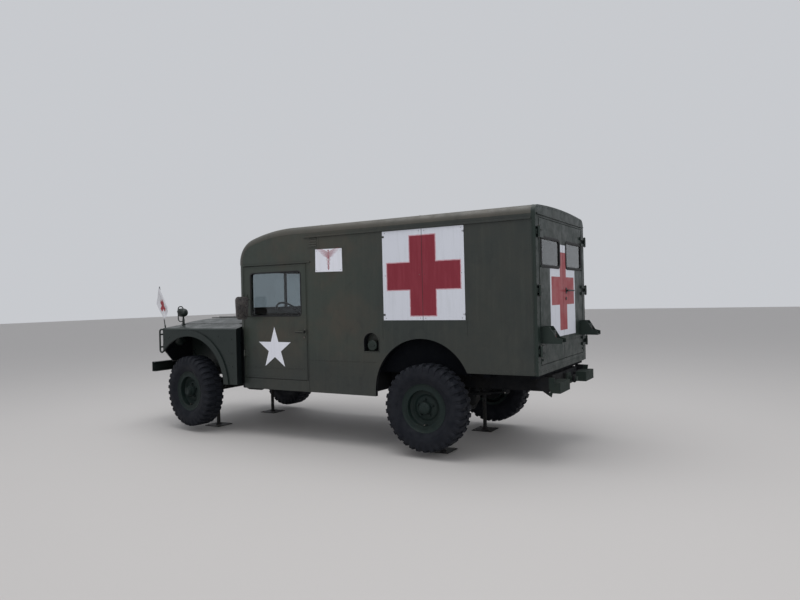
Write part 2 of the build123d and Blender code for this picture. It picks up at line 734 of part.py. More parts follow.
# Frame: two channel rails, crossmembers and the rear bumperettes
horn_x = front_axle_x + 560.0
rail_rear_x = rear_face_x
bumperette_y = (300.0, 620.0)
bumperette_depth = 130.0
bumperette_plate = 20.0
tow_eye_radius = 16.0

# Crossmembers: place ahead of the front axle, half width
crossmembers = [(430, 30), (-1640, 30), (-2300, 30), (-2900, 30), (-3700, 30)]
with BuildPart() as frame:
    for sign in (1, -1):
        rail = [
            (rail_rear_x, rail_bottom_z),
            (horn_x, rail_bottom_z),
            (horn_x + 80, rail_bottom_z + 64),
            (web, rail_bottom_z + 64),
            (web, rail_top_z),
            (rail_rear_x, rail_top_z),
        ]
        side_prism(rail, (sign * (rail_y - rail_width / 2), sign * (rail_y + rail_width / 2)))
        hollow_y = (sign * (rail_y - rail_width / 2), sign * (rail_y + rail_width / 2 - rail_wall))
        with BuildSketch(Plane.XZ.offset(-max(hollow_y))):
            with BuildLine():
                Polyline(*rail, close=True)
            make_face()
            offset(amount=-rail_wall, kind=Kind.INTERSECTION, mode=Mode.REPLACE)
        extrude(amount=abs(hollow_y[1] - hollow_y[0]), mode=Mode.SUBTRACT)
    reach = rail_y + rail_width / 2 - rail_wall - seat_gap
    between = rail_y - rail_width / 2 - seat_gap
    for member_dx, half in crossmembers:
        member_x = front_axle_x + member_dx
        block((member_x - half, member_x + half), (-reach, reach), (rail_bottom_z + 20, rail_top_z - 20))
    block((rail_rear_x, rail_rear_x + 50), (-between, between), (rail_bottom_z + 7, rail_top_z - 7))
    cradle_z = (rail_bottom_z - 30, rail_bottom_z - seat_gap)
    block((front_axle_x - 1180, front_axle_x - 1130), (-rail_y - 30, rail_y + 30), cradle_z)
    step_x = rail_rear_x - seat_gap
    for sign in (1, -1):
        step_y = (sign * bumperette_y[0], sign * bumperette_y[1])
        block((step_x - bumperette_depth, step_x), step_y, (axle_z + 165, axle_z + 262))
        inner_y = (step_y[0] + sign * 8, step_y[1] - sign * 8)
        block((step_x - bumperette_depth + 8, step_x - 8), inner_y, (axle_z + 164, axle_z + 254), Mode.SUBTRACT)
        corner_plate = [
            (step_x + 54, axle_z + 308),
            (step_x - 77, axle_z + 304),
            (step_x - 45, axle_z + 128),
            (step_x + 104, axle_z + 222),
        ]
        plate_y = (step_y[1] - sign * bumperette_plate, step_y[1])
        side_prism(corner_plate, plate_y)
        eye = (step_x - 22, axle_z + 185)
        bore = ((eye[0], plate_y[0] - sign, eye[1]), (eye[0], plate_y[1] + sign, eye[1]))
        rod(*bore, tow_eye_radius, Mode.SUBTRACT)
    block((step_x - 40, step_x), (-60, 60), (axle_z + 175, axle_z + 285))
    rod((step_x - 120, 0, axle_z + 230), (step_x - 39, 0, axle_z + 230), 26, sides=bar_sides)
save(frame.part, "frame")

# Headlamp guards of round bar, with the pennant's staff on the left one
guard_x = front_axle_x + 640.0
guard_bar = 11.0
guard_y = (fender_half_width - 410.0, fender_half_width - 80.0)
staff_foot = (front_axle_x + 530.0, guard_y[1], axle_z + 745.0)
staff_top = (front_axle_x + 628.0, guard_y[1], axle_z + 1290.0)
with BuildPart() as headlamp_guards:
    for sign in (1, -1):
        for bar_y in (sign * guard_y[1], sign * guard_y[0]):
            tube(
                [
                    (nose_x + front_panel, bar_y, axle_z + 744),
                    (guard_x, bar_y, axle_z + 744),
                    (guard_x, bar_y, axle_z + 420),
                    (nose_x + front_panel + 30, bar_y, axle_z + 520),
                    (nose_x + front_panel, bar_y, axle_z + 520),
                ],
                28,
                guard_bar,
            )
        for bar_z in (axle_z + 680, axle_z + 520):
            ends = ((guard_x, sign * guard_y[0], bar_z), (guard_x, sign * guard_y[1], bar_z))
            rod(*ends, guard_bar, sides=bar_sides)
    rod(staff_foot, staff_top, 6, sides=bar_sides)
save(headlamp_guards.part, "headlamp_guards")

# Pennant: a small flag hanging from its staff
with BuildPart() as pennant:
    side_prism(
        [
            (staff_top[0] + 12, staff_top[2] - 6),
            (front_axle_x + 655, axle_z + 1085),
            (front_axle_x + 560, axle_z + 850),
            (front_axle_x + 480, axle_z + 1010),
        ],
        (staff_foot[1] + 6.3, staff_foot[1] + 12),
    )
save(pennant.part, "pennant")

# White side boards and the small plaque, screwed to the body sides
board = 3.0
board_z = (axle_z + 849, axle_z + 1749)
board_x = (front_axle_x - 3615, front_axle_x - 2708)
plaque_z = (axle_z + 1369, axle_z + 1620)
plaque_x = (front_axle_x - 2205, front_axle_x - 1850)
with BuildPart() as side_boards:
    for sign in (1, -1):
        board_y = (sign * body_half_width, sign * (body_half_width + board))
        block(board_x, board_y, board_z)
        block(plaque_x, board_y, plaque_z)
save(side_boards.part, "side_boards")

# Cab doors with glass and mirrors
hinge_x = (cab_door_front_x + post_rear_x) / 2
hinge_y = body_half_width + 12.0
mirror_x = front_axle_x - 890.0
mirror_y = (body_half_width + 35.0, body_half_width + 240.0)
mirror_z = (axle_z + 869.0, axle_z + 1130.0)
for side, sign in (("left", 1), ("right", -1)):
    leaf_y = (sign * inner_half_width, sign * body_half_width)
    window_x = (cab_door_rear_x + cab_window["rear"], cab_door_front_x - cab_window["front"])
    window_z = (cab_door_bottom_z + cab_window["bottom"], cab_door_top_z - cab_window["top"])
    window_centre = ((window_x[0] + window_x[1]) / 2, (window_z[0] + window_z[1]) / 2)
    window_size = (window_x[1] - window_x[0], window_z[1] - window_z[0])
    with BuildPart() as cab_door:
        block((cab_door_rear_x, cab_door_front_x), leaf_y, (cab_door_bottom_z, cab_door_top_z))
        with BuildSketch(Plane.XZ.offset(-max(leaf_y) - 1)):
            with Locations(window_centre):
                RectangleRounded(*window_size, window_corner)
        extrude(amount=wall + 2, mode=Mode.SUBTRACT)
        for z in (cab_door_bottom_z + 250, cab_door_bottom_z + 900):
            rod((hinge_x, sign * hinge_y, z), (hinge_x, sign * hinge_y, z + 60), 10)
            block((hinge_x - 60, hinge_x), (sign * body_half_width, sign * (body_half_width + 6)), (z, z + 60))
        handle_z = cab_door_bottom_z + 535
        handle_x = cab_door_rear_x + 30
        grip_y = sign * (body_half_width + 34)
        rod((handle_x, sign * body_half_width, handle_z), (handle_x, grip_y + sign * 6, handle_z), 12, sides=bar_sides)
        rod((handle_x, grip_y, handle_z), (handle_x + 100, grip_y, handle_z), 8, sides=bar_sides)
    save(cab_door.part, f"{side}_cab_door")
    with BuildPart() as cab_glass:
        with BuildSketch(Plane.XZ.offset(-sign * (body_half_width - wall / 2) - glass / 2)):
            with Locations(window_centre):
                RectangleRounded(window_size[0] - 2 * seat_gap, window_size[1] - 2 * seat_gap, window_corner - seat_gap)
        extrude(amount=glass)
    save(cab_glass.part, f"{side}_cab_glass")
    with BuildPart() as mirror_piece:
        block((mirror_x - 12, mirror_x + 12), (sign * mirror_y[0], sign * mirror_y[1]), mirror_z)
        fillet(mirror_piece.edges().filter_by(Axis.X), 20)
        for z in (mirror_z[0] + 35, mirror_z[1] - 35):
            arm = ((mirror_x + 4, sign * body_half_width, z), (mirror_x + 4, sign * (mirror_y[0] + 5), z))
            rod(*arm, 7, sides=bar_sides)
    save(mirror_piece.part, f"{side}_mirror")

# Rear doors with glass, hinges and lamp brackets
lamp_bracket_y = (rear_door_half - 150.0, rear_door_half - 20.0)
bracket_depth = rear_overhang - (rear_axle_x - rear_face_x)
for side, sign in (("left", 1), ("right", -1)):
    leaf_y = (sign * panel_gap / 2 + sign * 0.5, sign * (rear_door_half - panel_gap))
    with BuildPart() as rear_door:
        block((rear_face_x, rear_inner_x), leaf_y, (rear_door_bottom_z, rear_door_top_z))
        with BuildSketch(Plane.YZ.offset(rear_face_x - 1)):
            with Locations((sign * rear_window_y, rear_window_z)):
                RectangleRounded(rear_window_width, rear_window_height, window_corner)
        extrude(amount=wall + 2, mode=Mode.SUBTRACT)
        pin_y = sign * rear_hinge_y
        strap_y = sign * (rear_door_half - 90)
        for hinge_z in rear_hinge_heights:
            for low, high in ((hinge_z - 50, hinge_z - 20.5), (hinge_z + 20.5, hinge_z + 50)):
                rod((rear_hinge_x, pin_y, low), (rear_hinge_x, pin_y, high), rear_hinge_radius, sides=bar_sides)
                block((rear_face_x - 18, rear_face_x - 9), (strap_y, pin_y), (low, high))
                block((rear_face_x - 12, rear_face_x), (strap_y, strap_y + sign * 78), (low, high))
        gusset = [
            (rear_face_x, axle_z + 628),
            (rear_face_x, axle_z + 783),
            (rear_face_x - 75, axle_z + 783),
            (rear_face_x - 137, axle_z + 684),
            (rear_face_x - bracket_depth, axle_z + 670),
            (rear_face_x - bracket_depth, axle_z + 628),
        ]
        side_prism(gusset, (sign * lamp_bracket_y[0], sign * (lamp_bracket_y[0] + 8)))
        side_prism(gusset, (sign * (lamp_bracket_y[1] - 8), sign * lamp_bracket_y[1]))
        block((rear_face_x - bracket_depth, rear_face_x), (sign * lamp_bracket_y[0], sign * lamp_bracket_y[1]), (axle_z + 628, axle_z + 638))
        lamp_at = (sign * sum(lamp_bracket_y) / 2, axle_z + 700)
        rod((rear_face_x, *lamp_at), (rear_face_x - 110, *lamp_at), 48)
    save(rear_door.part, f"{side}_rear_door")
    with BuildPart() as rear_glass:
        with BuildSketch(Plane.YZ.offset((rear_face_x + rear_inner_x) / 2 - glass / 2)):
            with Locations((sign * rear_window_y, rear_window_z)):
                RectangleRounded(rear_window_width - 2 * seat_gap, rear_window_height - 2 * seat_gap, window_corner - seat_gap)
        extrude(amount=glass)
    save(rear_glass.part, f"{side}_rear_glass")

# Axles
diff_y = -200.0
with BuildPart() as front_axle:
    rod((front_axle_x, -kingpin_y + 40, axle_z), (front_axle_x, kingpin_y - 40, axle_z), axle_tube)
    for end_y in (kingpin_y, -kingpin_y):
        ball((front_axle_x, end_y, axle_z), ball_radius)
        with Locations((front_axle_x, end_y, axle_z)):
            Cylinder(kingpin_radius, 2 * kingpin_reach)
    rod((front_axle_x - 90, diff_y, axle_z), (front_axle_x + 100, diff_y, axle_z), 135, sides=20)
    rod((front_axle_x - 180, diff_y, axle_z), (front_axle_x - 80, diff_y, axle_z), 60, sides=bar_sides)
    for sign in (1, -1):
        block((front_axle_x - 55, front_axle_x + 55), (sign * (rail_y - 34), sign * (rail_y + 34)), (axle_z, axle_z + 50))
save(front_axle.part, "front_axle")

backing_y = wheel_y - 104.0
with BuildPart() as rear_axle:
    rod((rear_axle_x, -backing_y, axle_z), (rear_axle_x, backing_y, axle_z), axle_tube + 3)
    rod((rear_axle_x, -wheel_y, axle_z), (rear_axle_x, wheel_y, axle_z), spindle_radius)
    rod((rear_axle_x - 110, 0, axle_z), (rear_axle_x + 100, 0, axle_z), 150, sides=20)
    rod((rear_axle_x + 90, 0, axle_z), (rear_axle_x + 220, 0, axle_z), 65, sides=bar_sides)
    for sign in (1, -1):
        backing = ((rear_axle_x, sign * backing_y, axle_z), (rear_axle_x, sign * (backing_y + 10), axle_z))
        rod(*backing, brake_drum_radius, sides=20)
        block((rear_axle_x - 55, rear_axle_x + 55), (sign * (rail_y - 34), sign * (rail_y + 34)), (axle_z, axle_z + 50))
save(rear_axle.part, "rear_axle")

# Leaf springs: axle position, half length of the main leaf
leaf = 14.0
spring_half_width = 32.0
leaf_mid_h = 85.0
leaf_eye_h = 118.0
with BuildPart() as leaf_springs:
    for axle_x, half_length in ((front_axle_x, 560.0), (rear_axle_x, 640.0)):
        rise = leaf_eye_h - leaf_mid_h
        radius = (half_length ** 2 + rise ** 2) / (2 * rise)
        centre_z = axle_z + leaf_mid_h + radius
        for sign in (1, -1):
            near = max(sign * (rail_y - spring_half_width), sign * (rail_y + spring_half_width))
            with BuildSketch(Plane.XZ.offset(-near)):
                for layer, share in ((0, 1.0), (1, 0.72), (2, 0.45)):
                    reach = math.asin(share * half_length / radius)
                    upper = radius - leaf / 2 + layer * leaf
                    lower = upper + leaf
                    ends = [(axle_x + r * math.sin(a), centre_z - r * math.cos(a)) for r, a in (
                        (upper, -reach), (upper, 0), (upper, reach), (lower, reach), (lower, 0), (lower, -reach))]
                    with BuildLine():
                        ThreePointArc(ends[0], ends[1], ends[2])
                        Line(ends[2], ends[3])
                        ThreePointArc(ends[3], ends[4], ends[5])
                        Line(ends[5], ends[0])
                    make_face()
                for end in (-1, 1):
                    eye_x = axle_x + end * half_length
                    with Locations((eye_x, axle_z + leaf_eye_h)):
                        Circle(20)
                    with Locations((eye_x, (axle_z + leaf_eye_h + rail_bottom_z) / 2)):
                        Rectangle(34, rail_bottom_z - axle_z - leaf_eye_h)
            extrude(amount=2 * spring_half_width)
save(leaf_springs.part, "leaf_springs")

# Engine block, gearbox and transfer case
with BuildPart() as powertrain:
    block((front_axle_x - 480, front_axle_x + 230), (-220, 220), (axle_z + 190, axle_z + 730))
    block((front_axle_x - 1090, front_axle_x - 480), (-130, 130), (axle_z + 130, axle_z + 300))
    block((front_axle_x - 1500, front_axle_x - 1090), (-60, 60), (axle_z + 160, axle_z + 280))
    block((front_axle_x - 1500, front_axle_x - 1210), (-270, 110), (axle_z + 10, axle_z + 290))
save(powertrain.part, "powertrain")

# Propeller shafts
with BuildPart() as propeller_shafts:
    for start, end, radius in (
        ((front_axle_x - 1500, 0, axle_z + 110), (rear_axle_x + 220, 0, axle_z), 35),
        ((front_axle_x - 180, diff_y, axle_z), (front_axle_x - 1210, diff_y, axle_z + 60), 28),
    ):
        joint_start = (start[0] - 60, start[1], start[2])
        joint_end = (end[0] + 60, end[1], end[2])
        rod(start, joint_start, radius + 12, sides=bar_sides)
        rod(joint_end, end, radius + 12, sides=bar_sides)
        rod(joint_start, joint_end, radius, sides=bar_sides)
        cross = radius + 20
        for x, y, z in (joint_start, joint_end):
            rod((x, y - cross, z), (x, y + cross, z), 16, sides=bar_sides)
            rod((x, y, z - cross), (x, y, z + cross), 16, sides=bar_sides)
save(propeller_shafts.part, "propeller_shafts")

# Fuel tank under the floor, behind the left sill
with BuildPart() as fuel_tank:
    tank_y = (rail_y + 60, inner_half_width - 25)
    block((front_axle_x - 2540, front_axle_x - 1900), tank_y, (axle_z + 100, rear_sill_z - bearer_height))
    fillet(fuel_tank.edges().filter_by(Axis.X), 30)
save(fuel_tank.part, "fuel_tank")

# Exhaust
pipe = 25.0
muffler_y = -600.0
with BuildPart() as exhaust:
    tube(
        [
            (front_axle_x - 300, -220, axle_z + 400),
            (front_axle_x - 300, -290, axle_z + 400),
            (front_axle_x - 300, -290, axle_z + 90),
            (front_axle_x - 900, -290, axle_z + 90),
            (front_axle_x - 1300, muffler_y, axle_z + 110),
            (front_axle_x - 1480, muffler_y, axle_z + 180),
        ],
        35,
        pipe,
    )
    rod((front_axle_x - 2050, muffler_y, axle_z + 180), (front_axle_x - 1470, muffler_y, axle_z + 180), 75, sides=20)
    tube(
        [
            (front_axle_x - 2040, muffler_y, axle_z + 180),
            (front_axle_x - 3950, muffler_y, axle_z + 180),
            (front_axle_x - 4080, muffler_y - 180, axle_z + 150),
        ],
        60,
        pipe,
    )
    for bearer_dx in (1500, 2000, 3800):
        hanger_x = front_axle_x - bearer_dx
        block((hanger_x - 12, hanger_x + 12), (muffler_y - 4, muffler_y + 4), (axle_z + 190, rear_sill_z - bearer_height))
save(exhaust.part, "exhaust")

# Display stands under the axles
with BuildPart() as display_stands:
    for axle_x, stand_y, radius in (
        (front_axle_x, 510, axle_tube), (front_axle_x, -510, axle_tube),
        (rear_axle_x, 560, axle_tube + 3), (rear_axle_x, -560, axle_tube + 3),
    ):
        block((axle_x - 120, axle_x + 120), (stand_y - 120, stand_y + 120), (0, 8))
        rod((axle_x, stand_y, 7), (axle_x, stand_y, axle_z - radius - 20), 22, sides=bar_sides)
        block((axle_x - 38, axle_x + 38), (stand_y - 35, stand_y + 35), (axle_z - radius - 30, axle_z - 18))
        rod((axle_x, stand_y - 36, axle_z), (axle_x, stand_y + 36, axle_z), radius + seat_gap, Mode.SUBTRACT)
save(display_stands.part, "display_stands")

# Steering knuckles: a cup over the axle's ball, kingpin bosses, spindle, backing plate and steering arm
arm_h = -42.0
pin_radius = 10.0
for side, sign in (("left", 1), ("right", -1)):
    with BuildPart() as knuckle:
        ball((0, 0, 0), ball_radius + 21)
        block((-120, 120), (-120, 8), (-120, 120), Mode.SUBTRACT)
        rod((0, 0, 70), (0, 0, 112), 27, sides=20)
        rod((0, 0, -112), (0, 0, -70), 27, sides=20)
        rod((0, 84, 0), (0, wheel_y - kingpin_y - 104, 0), 68, sides=20)
        rod((0, 90, 0), (0, wheel_y - kingpin_y, 0), spindle_radius)
        backing = ((0, wheel_y - kingpin_y - 104, 0), (0, wheel_y - kingpin_y - 94, 0))
        rod(*backing, brake_drum_radius, sides=20)
        block((74, steering_arm), (-20, 20), (arm_h - 10, arm_h + 10))
        rod((steering_arm, 0, arm_h - 10), (steering_arm, 0, arm_h + 10), 22, sides=bar_sides)
        ball((0, 0, 0), ball_radius + 7, Mode.SUBTRACT)
        Cylinder(kingpin_radius + seat_gap, 2 * kingpin_reach + 2, mode=Mode.SUBTRACT)
        rod((steering_arm, 0, arm_h - 11), (steering_arm, 0, arm_h + 11), pin_radius + seat_gap, Mode.SUBTRACT)
    turned = knuckle.part if sign > 0 else knuckle.part.mirror(Plane.XZ)
    placed = turned.moved(Location((front_axle_x, sign * kingpin_y, axle_z), (0, 0, parked_steer)))
    save(placed, f"{side}_knuckle")

# Tie rod between the steering arms
parked = math.radians(parked_steer)
arm_dx = steering_arm * math.cos(parked)
arm_dy = steering_arm * math.sin(parked)
with BuildPart() as tie_rod:
    rod_z = axle_z + arm_h + 32
    rod_x = front_axle_x + arm_dx
    rod((rod_x, -kingpin_y + arm_dy, rod_z), (rod_x, kingpin_y + arm_dy, rod_z), 14, sides=bar_sides)
    for sign in (1, -1):
        end_y = sign * kingpin_y + arm_dy
        rod((rod_x, end_y, axle_z + arm_h - 14), (rod_x, end_y, rod_z), pin_radius)
        rod((rod_x, end_y, rod_z - 17), (rod_x, end_y, rod_z + 17), 20, sides=bar_sides)
save(tie_rod.part, "tie_rod")

# Wheels. Outlines as (distance outward from the wheel's mid plane, radius)
flange_outline = [(-90, 228), (-82, 228), (-76, 206), (76, 206), (82, 228), (90, 228)]
dish_outline = [(20, 128), (30, 180), (91, 184)]
dish_cone = [(19, 128), (38, 100), (39, 64)]
hub_outlines = {"front": [(38, 64), (78, 60), (112, 52), (122, 38)], "rear": [(38, 64), (78, 60), (84, 52), (96, 34)]}
back_outline = [(-91, 196), (10, 196), (16, 186)]
drum_outline = [(-84, 165), (-22, 165)]
hub_back_outline = [(-23, 100), (19, 92), (20, 128)]
bore_depth = (-92, 6)

tyre_outline = [(-125, 318), (-110, 391), (110, 391), (125, 318)]
tyre_wall = [(74, 207), (81.4, 229.5), (117, 272), (125.5, 318)]
tread_base = 396.0
tread_half = 110.0
lug_share = 0.55
lug_taper = 0.08


def wheel_rim(end):
    """A rim with its deep dish, its hub and, behind the dish, the brake drum."""
    with BuildPart() as rim:
        ring_stack(flange_outline, wheel_sides)
        ring_stack(dish_outline, wheel_sides, mode=Mode.SUBTRACT)
        ring_stack(back_outline, wheel_sides, mode=Mode.SUBTRACT)
        ring_stack(drum_outline, wheel_sides)
        ring_stack(hub_back_outline, wheel_sides)
        ring_stack(dish_cone, wheel_sides)
        ring_stack(hub_outlines[end], wheel_sides)
        rod((0, bore_depth[0], 0), (0, bore_depth[1], 0), spindle_radius + seat_gap, Mode.SUBTRACT)
    return rim.part


def lug_ring(y, phase):
    """Half the tread's width as a ring of lugs."""
    pitch = 360 / lug_count
    flanks = ((0, tread_base), (lug_taper, tyre_radius), (lug_share - lug_taper, tyre_radius), (lug_share, tread_base))
    points = []
    for lug in range(lug_count):
        for share, radius in flanks:
            angle = math.radians((lug + share) * pitch + phase)
            points.append((radius * math.cos(angle), radius * math.sin(angle)))
    side_prism(points, y)


with BuildPart() as tyre:
    lug_ring((0, tread_half), 0)
    lug_ring((-tread_half, 0), 180 / lug_count)
    ring_stack(tyre_outline, wheel_sides)
    rim_bore = tyre_wall[0][1]
    ring_stack([(-76, rim_bore), (76, rim_bore)], wheel_sides, mode=Mode.SUBTRACT)
    ring_stack(tyre_wall, wheel_sides, mode=Mode.SUBTRACT)
    inner_wall = [(-distance, radius) for distance, radius in reversed(tyre_wall)]
    ring_stack(inner_wall, wheel_sides, mode=Mode.SUBTRACT)

rims = {"front": wheel_rim("front"), "rear": wheel_rim("rear")}
for end, axle_x, steer in (("front", front_axle_x, parked_steer), ("rear", rear_axle_x, 0.0)):
    for side, sign in (("left", 1), ("right", -1)):
        turn = 0 if sign > 0 else 180
        for piece, name in ((tyre.part, "tyre"), (rims[end], "rim")):
            placed = piece.moved(Location((axle_x, sign * wheel_y, axle_z), (0, 0, turn)))
            placed = placed.rotate(Axis((axle_x, sign * kingpin_y, 0), (0, 0, 1)), steer)
            save(placed, f"{side}_{end}_{name}")
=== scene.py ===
import json
from math import cos, pi, radians, sin, sqrt, tan

import bmesh
import bpy
from mathutils import Matrix, Vector


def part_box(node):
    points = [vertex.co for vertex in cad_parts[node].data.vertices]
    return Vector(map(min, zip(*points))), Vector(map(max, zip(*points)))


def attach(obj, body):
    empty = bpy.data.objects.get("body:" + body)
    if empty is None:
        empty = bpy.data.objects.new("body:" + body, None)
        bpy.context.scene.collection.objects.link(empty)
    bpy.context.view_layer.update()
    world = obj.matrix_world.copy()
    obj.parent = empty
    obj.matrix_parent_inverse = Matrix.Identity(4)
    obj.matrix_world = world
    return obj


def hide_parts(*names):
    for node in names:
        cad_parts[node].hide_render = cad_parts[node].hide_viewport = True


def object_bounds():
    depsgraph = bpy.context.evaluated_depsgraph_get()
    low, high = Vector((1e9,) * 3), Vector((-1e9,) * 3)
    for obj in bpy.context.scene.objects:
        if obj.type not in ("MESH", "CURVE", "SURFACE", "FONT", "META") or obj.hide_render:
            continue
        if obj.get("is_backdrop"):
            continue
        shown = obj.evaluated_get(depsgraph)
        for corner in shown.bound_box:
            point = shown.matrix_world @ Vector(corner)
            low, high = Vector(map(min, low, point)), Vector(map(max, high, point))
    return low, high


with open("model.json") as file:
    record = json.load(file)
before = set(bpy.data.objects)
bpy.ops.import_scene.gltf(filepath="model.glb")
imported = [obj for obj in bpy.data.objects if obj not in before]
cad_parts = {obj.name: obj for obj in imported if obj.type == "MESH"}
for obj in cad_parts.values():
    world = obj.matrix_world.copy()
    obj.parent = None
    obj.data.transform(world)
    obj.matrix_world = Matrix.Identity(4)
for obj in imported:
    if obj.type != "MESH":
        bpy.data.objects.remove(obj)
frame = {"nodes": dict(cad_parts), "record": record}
cad_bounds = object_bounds()
NODES = frame["nodes"]


def middle(box):
    """The centre of a box."""
    return [(low + high) / 2 for low, high in zip(*box)]


# Places read from the frame, in metres: +X is forward, +Y the vehicle's left, +Z up
SIDES = {"left": 1, "right": -1}
REAR_X, WHEEL_Y, AXLE_Z = middle(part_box("left_rear_tyre"))
WHEELBASE = 3.2
FRONT_X = REAR_X + WHEELBASE
KINGPIN_Y = 0.65
PARKED_STEER = radians(-7.8)
BODY_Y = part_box("left_cab_glass")[1].y + 0.017
CAB_FACE_X = FRONT_X - 0.705
REAR_FACE_X = REAR_X - 1.115
NOSE_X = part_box("grille_panel")[0].x
WALL = 0.04


def up(height):
    """A height above the wheel axes."""
    return AXLE_Z + height


WELL_TOP = up(0.74)
COWL_Z = up(0.803)
FLOOR_TOP = up(0.343) + 0.030

# Materials

DUST = (0.12, 0.107, 0.09)
# Near-black: real stains, and painted shade in corners, in wheel wells and under the floor
STAIN_AND_SHADE_DARK = (0.0028, 0.0036, 0.0055)
# Painted shade for faces inside the body, which the windows show dark
INTERIOR_SHADE = (0.030, 0.035, 0.026)
BODY_MIDDLE_X = -0.5


class Shader:
    """A node tree built step by step, on the coordinates of the piece itself."""

    def __init__(self, name):
        self.material = bpy.data.materials.new(name)
        self.material.use_nodes = True
        self.tree = self.material.node_tree
        self.here = self.node("TexCoord", "Object")

    def put(self, socket, value):
        """Links a socket to another node's, or sets it to a number or a colour."""
        if isinstance(value, bpy.types.NodeSocket):
            self.tree.links.new(value, socket)
        else:
            socket.default_value = (*value, 1.0) if socket.type == "RGBA" else value

    def node(self, kind, out, inputs=None, **settings):
        """The output of a new node, from its inputs and settings."""
        made = self.tree.nodes.new("ShaderNode" + kind)
        for key, value in settings.items():
            setattr(made, key, value)
        for key, value in (inputs or {}).items():
            self.put(made.inputs[key], value)
        return made.outputs[out]

    def stretched(self, scale):
        """Coordinates with their own scale on each axis."""
        return self.node("Mapping", "Vector", {"Vector": self.here, "Scale": scale})

    def noise(self, scale, detail=4.0, rough=0.55, where=None, distortion=0.0):
        inputs = {"Vector": where or self.here, "Scale": scale, "Detail": detail}
        return self.node("TexNoise", "Fac", inputs | {"Roughness": rough, "Distortion": distortion})

    def waves(self, scale, axis, distortion=0.0):
        """Even waves along one axis."""
        inputs = {"Vector": self.here, "Scale": scale, "Distortion": distortion}
        return self.node("TexWave", "Fac", inputs, bands_direction=axis)

    def ramp(self, value, low, high, to_low=0.0, to_high=1.0):
        """value between low and high, spread from to_low to to_high and held beyond them."""
        inputs = {"Value": value, "From Min": low, "From Max": high, "To Min": to_low, "To Max": to_high}
        return self.node("MapRange", "Result", inputs, interpolation_type="SMOOTHSTEP")

    def math(self, operation, a, b):
        return self.node("Math", 0, {0: a, 1: b}, operation=operation)

    def mix(self, factor, a, b):
        return self.node("Mix", 2, {0: factor, 6: a, 7: b}, data_type="RGBA")

    def part(self, axis):
        """One coordinate of the point."""
        return self.node("SeparateXYZ", axis, {0: self.here})

    def normal_part(self, axis):
        """One coordinate of the surface's direction, in the piece's own axes."""
        return self.node("SeparateXYZ", axis, {0: self.node("TexCoord", "Normal")})

    def facing_across(self, low, high):
        """1 on surfaces that face the middle plane."""
        return self.ramp(self.math("MULTIPLY", self.part(1), self.normal_part(1)), low, high)

    def facing_in(self):
        """1 on surfaces that face the middle of the body, such as a panel's back or a ceiling."""
        offset = self.math("SUBTRACT", self.part(0), BODY_MIDDLE_X)
        along = self.ramp(self.math("MULTIPLY", offset, self.normal_part(0)), -0.15, -0.60)
        below = self.ramp(self.normal_part(2), -0.45, -0.75)
        return self.math("MAXIMUM", self.math("MAXIMUM", self.facing_across(-0.08, -0.30), along), below)

    def facing_wheel(self):
        """1 on surfaces that face the nearest axle, such as the inside of a wheel arch."""
        in_front = self.math("GREATER_THAN", self.part(0), (FRONT_X + REAR_X) / 2)
        centre = self.math("ADD", REAR_X, self.math("MULTIPLY", in_front, FRONT_X - REAR_X))
        along = self.math("MULTIPLY", self.math("SUBTRACT", centre, self.part(0)), self.normal_part(0))
        upward = self.math("MULTIPLY", self.math("SUBTRACT", AXLE_Z, self.part(2)), self.normal_part(2))
        facing = self.ramp(self.math("ADD", along, upward), 0.04, 0.16)
        return self.math("MULTIPLY", facing, self.ramp(self.part(2), WELL_TOP + 0.02, WELL_TOP))

    def crevices(self, distance):
        """1 where the surface is open, less in its corners."""
        return self.node("AmbientOcclusion", "AO", {"Distance": distance}, samples=4)

    def bump(self, height, distance, strength, under=None):
        inputs = {"Height": height, "Distance": distance, "Strength": strength}
        return self.node("Bump", "Normal", inputs | ({"Normal": under} if under else {}))

    def finish(self, color, roughness, normal=None, **fixed):
        """The material. Constants by name go on the shader's own sockets."""
        if normal:
            fixed["Normal"] = normal
        for key, value in {"Base_Color": color, "Roughness": roughness, **fixed}.items():
            self.put(self.tree.nodes["Principled BSDF"].inputs[key.replace("_", " ")], value)
        return self.material


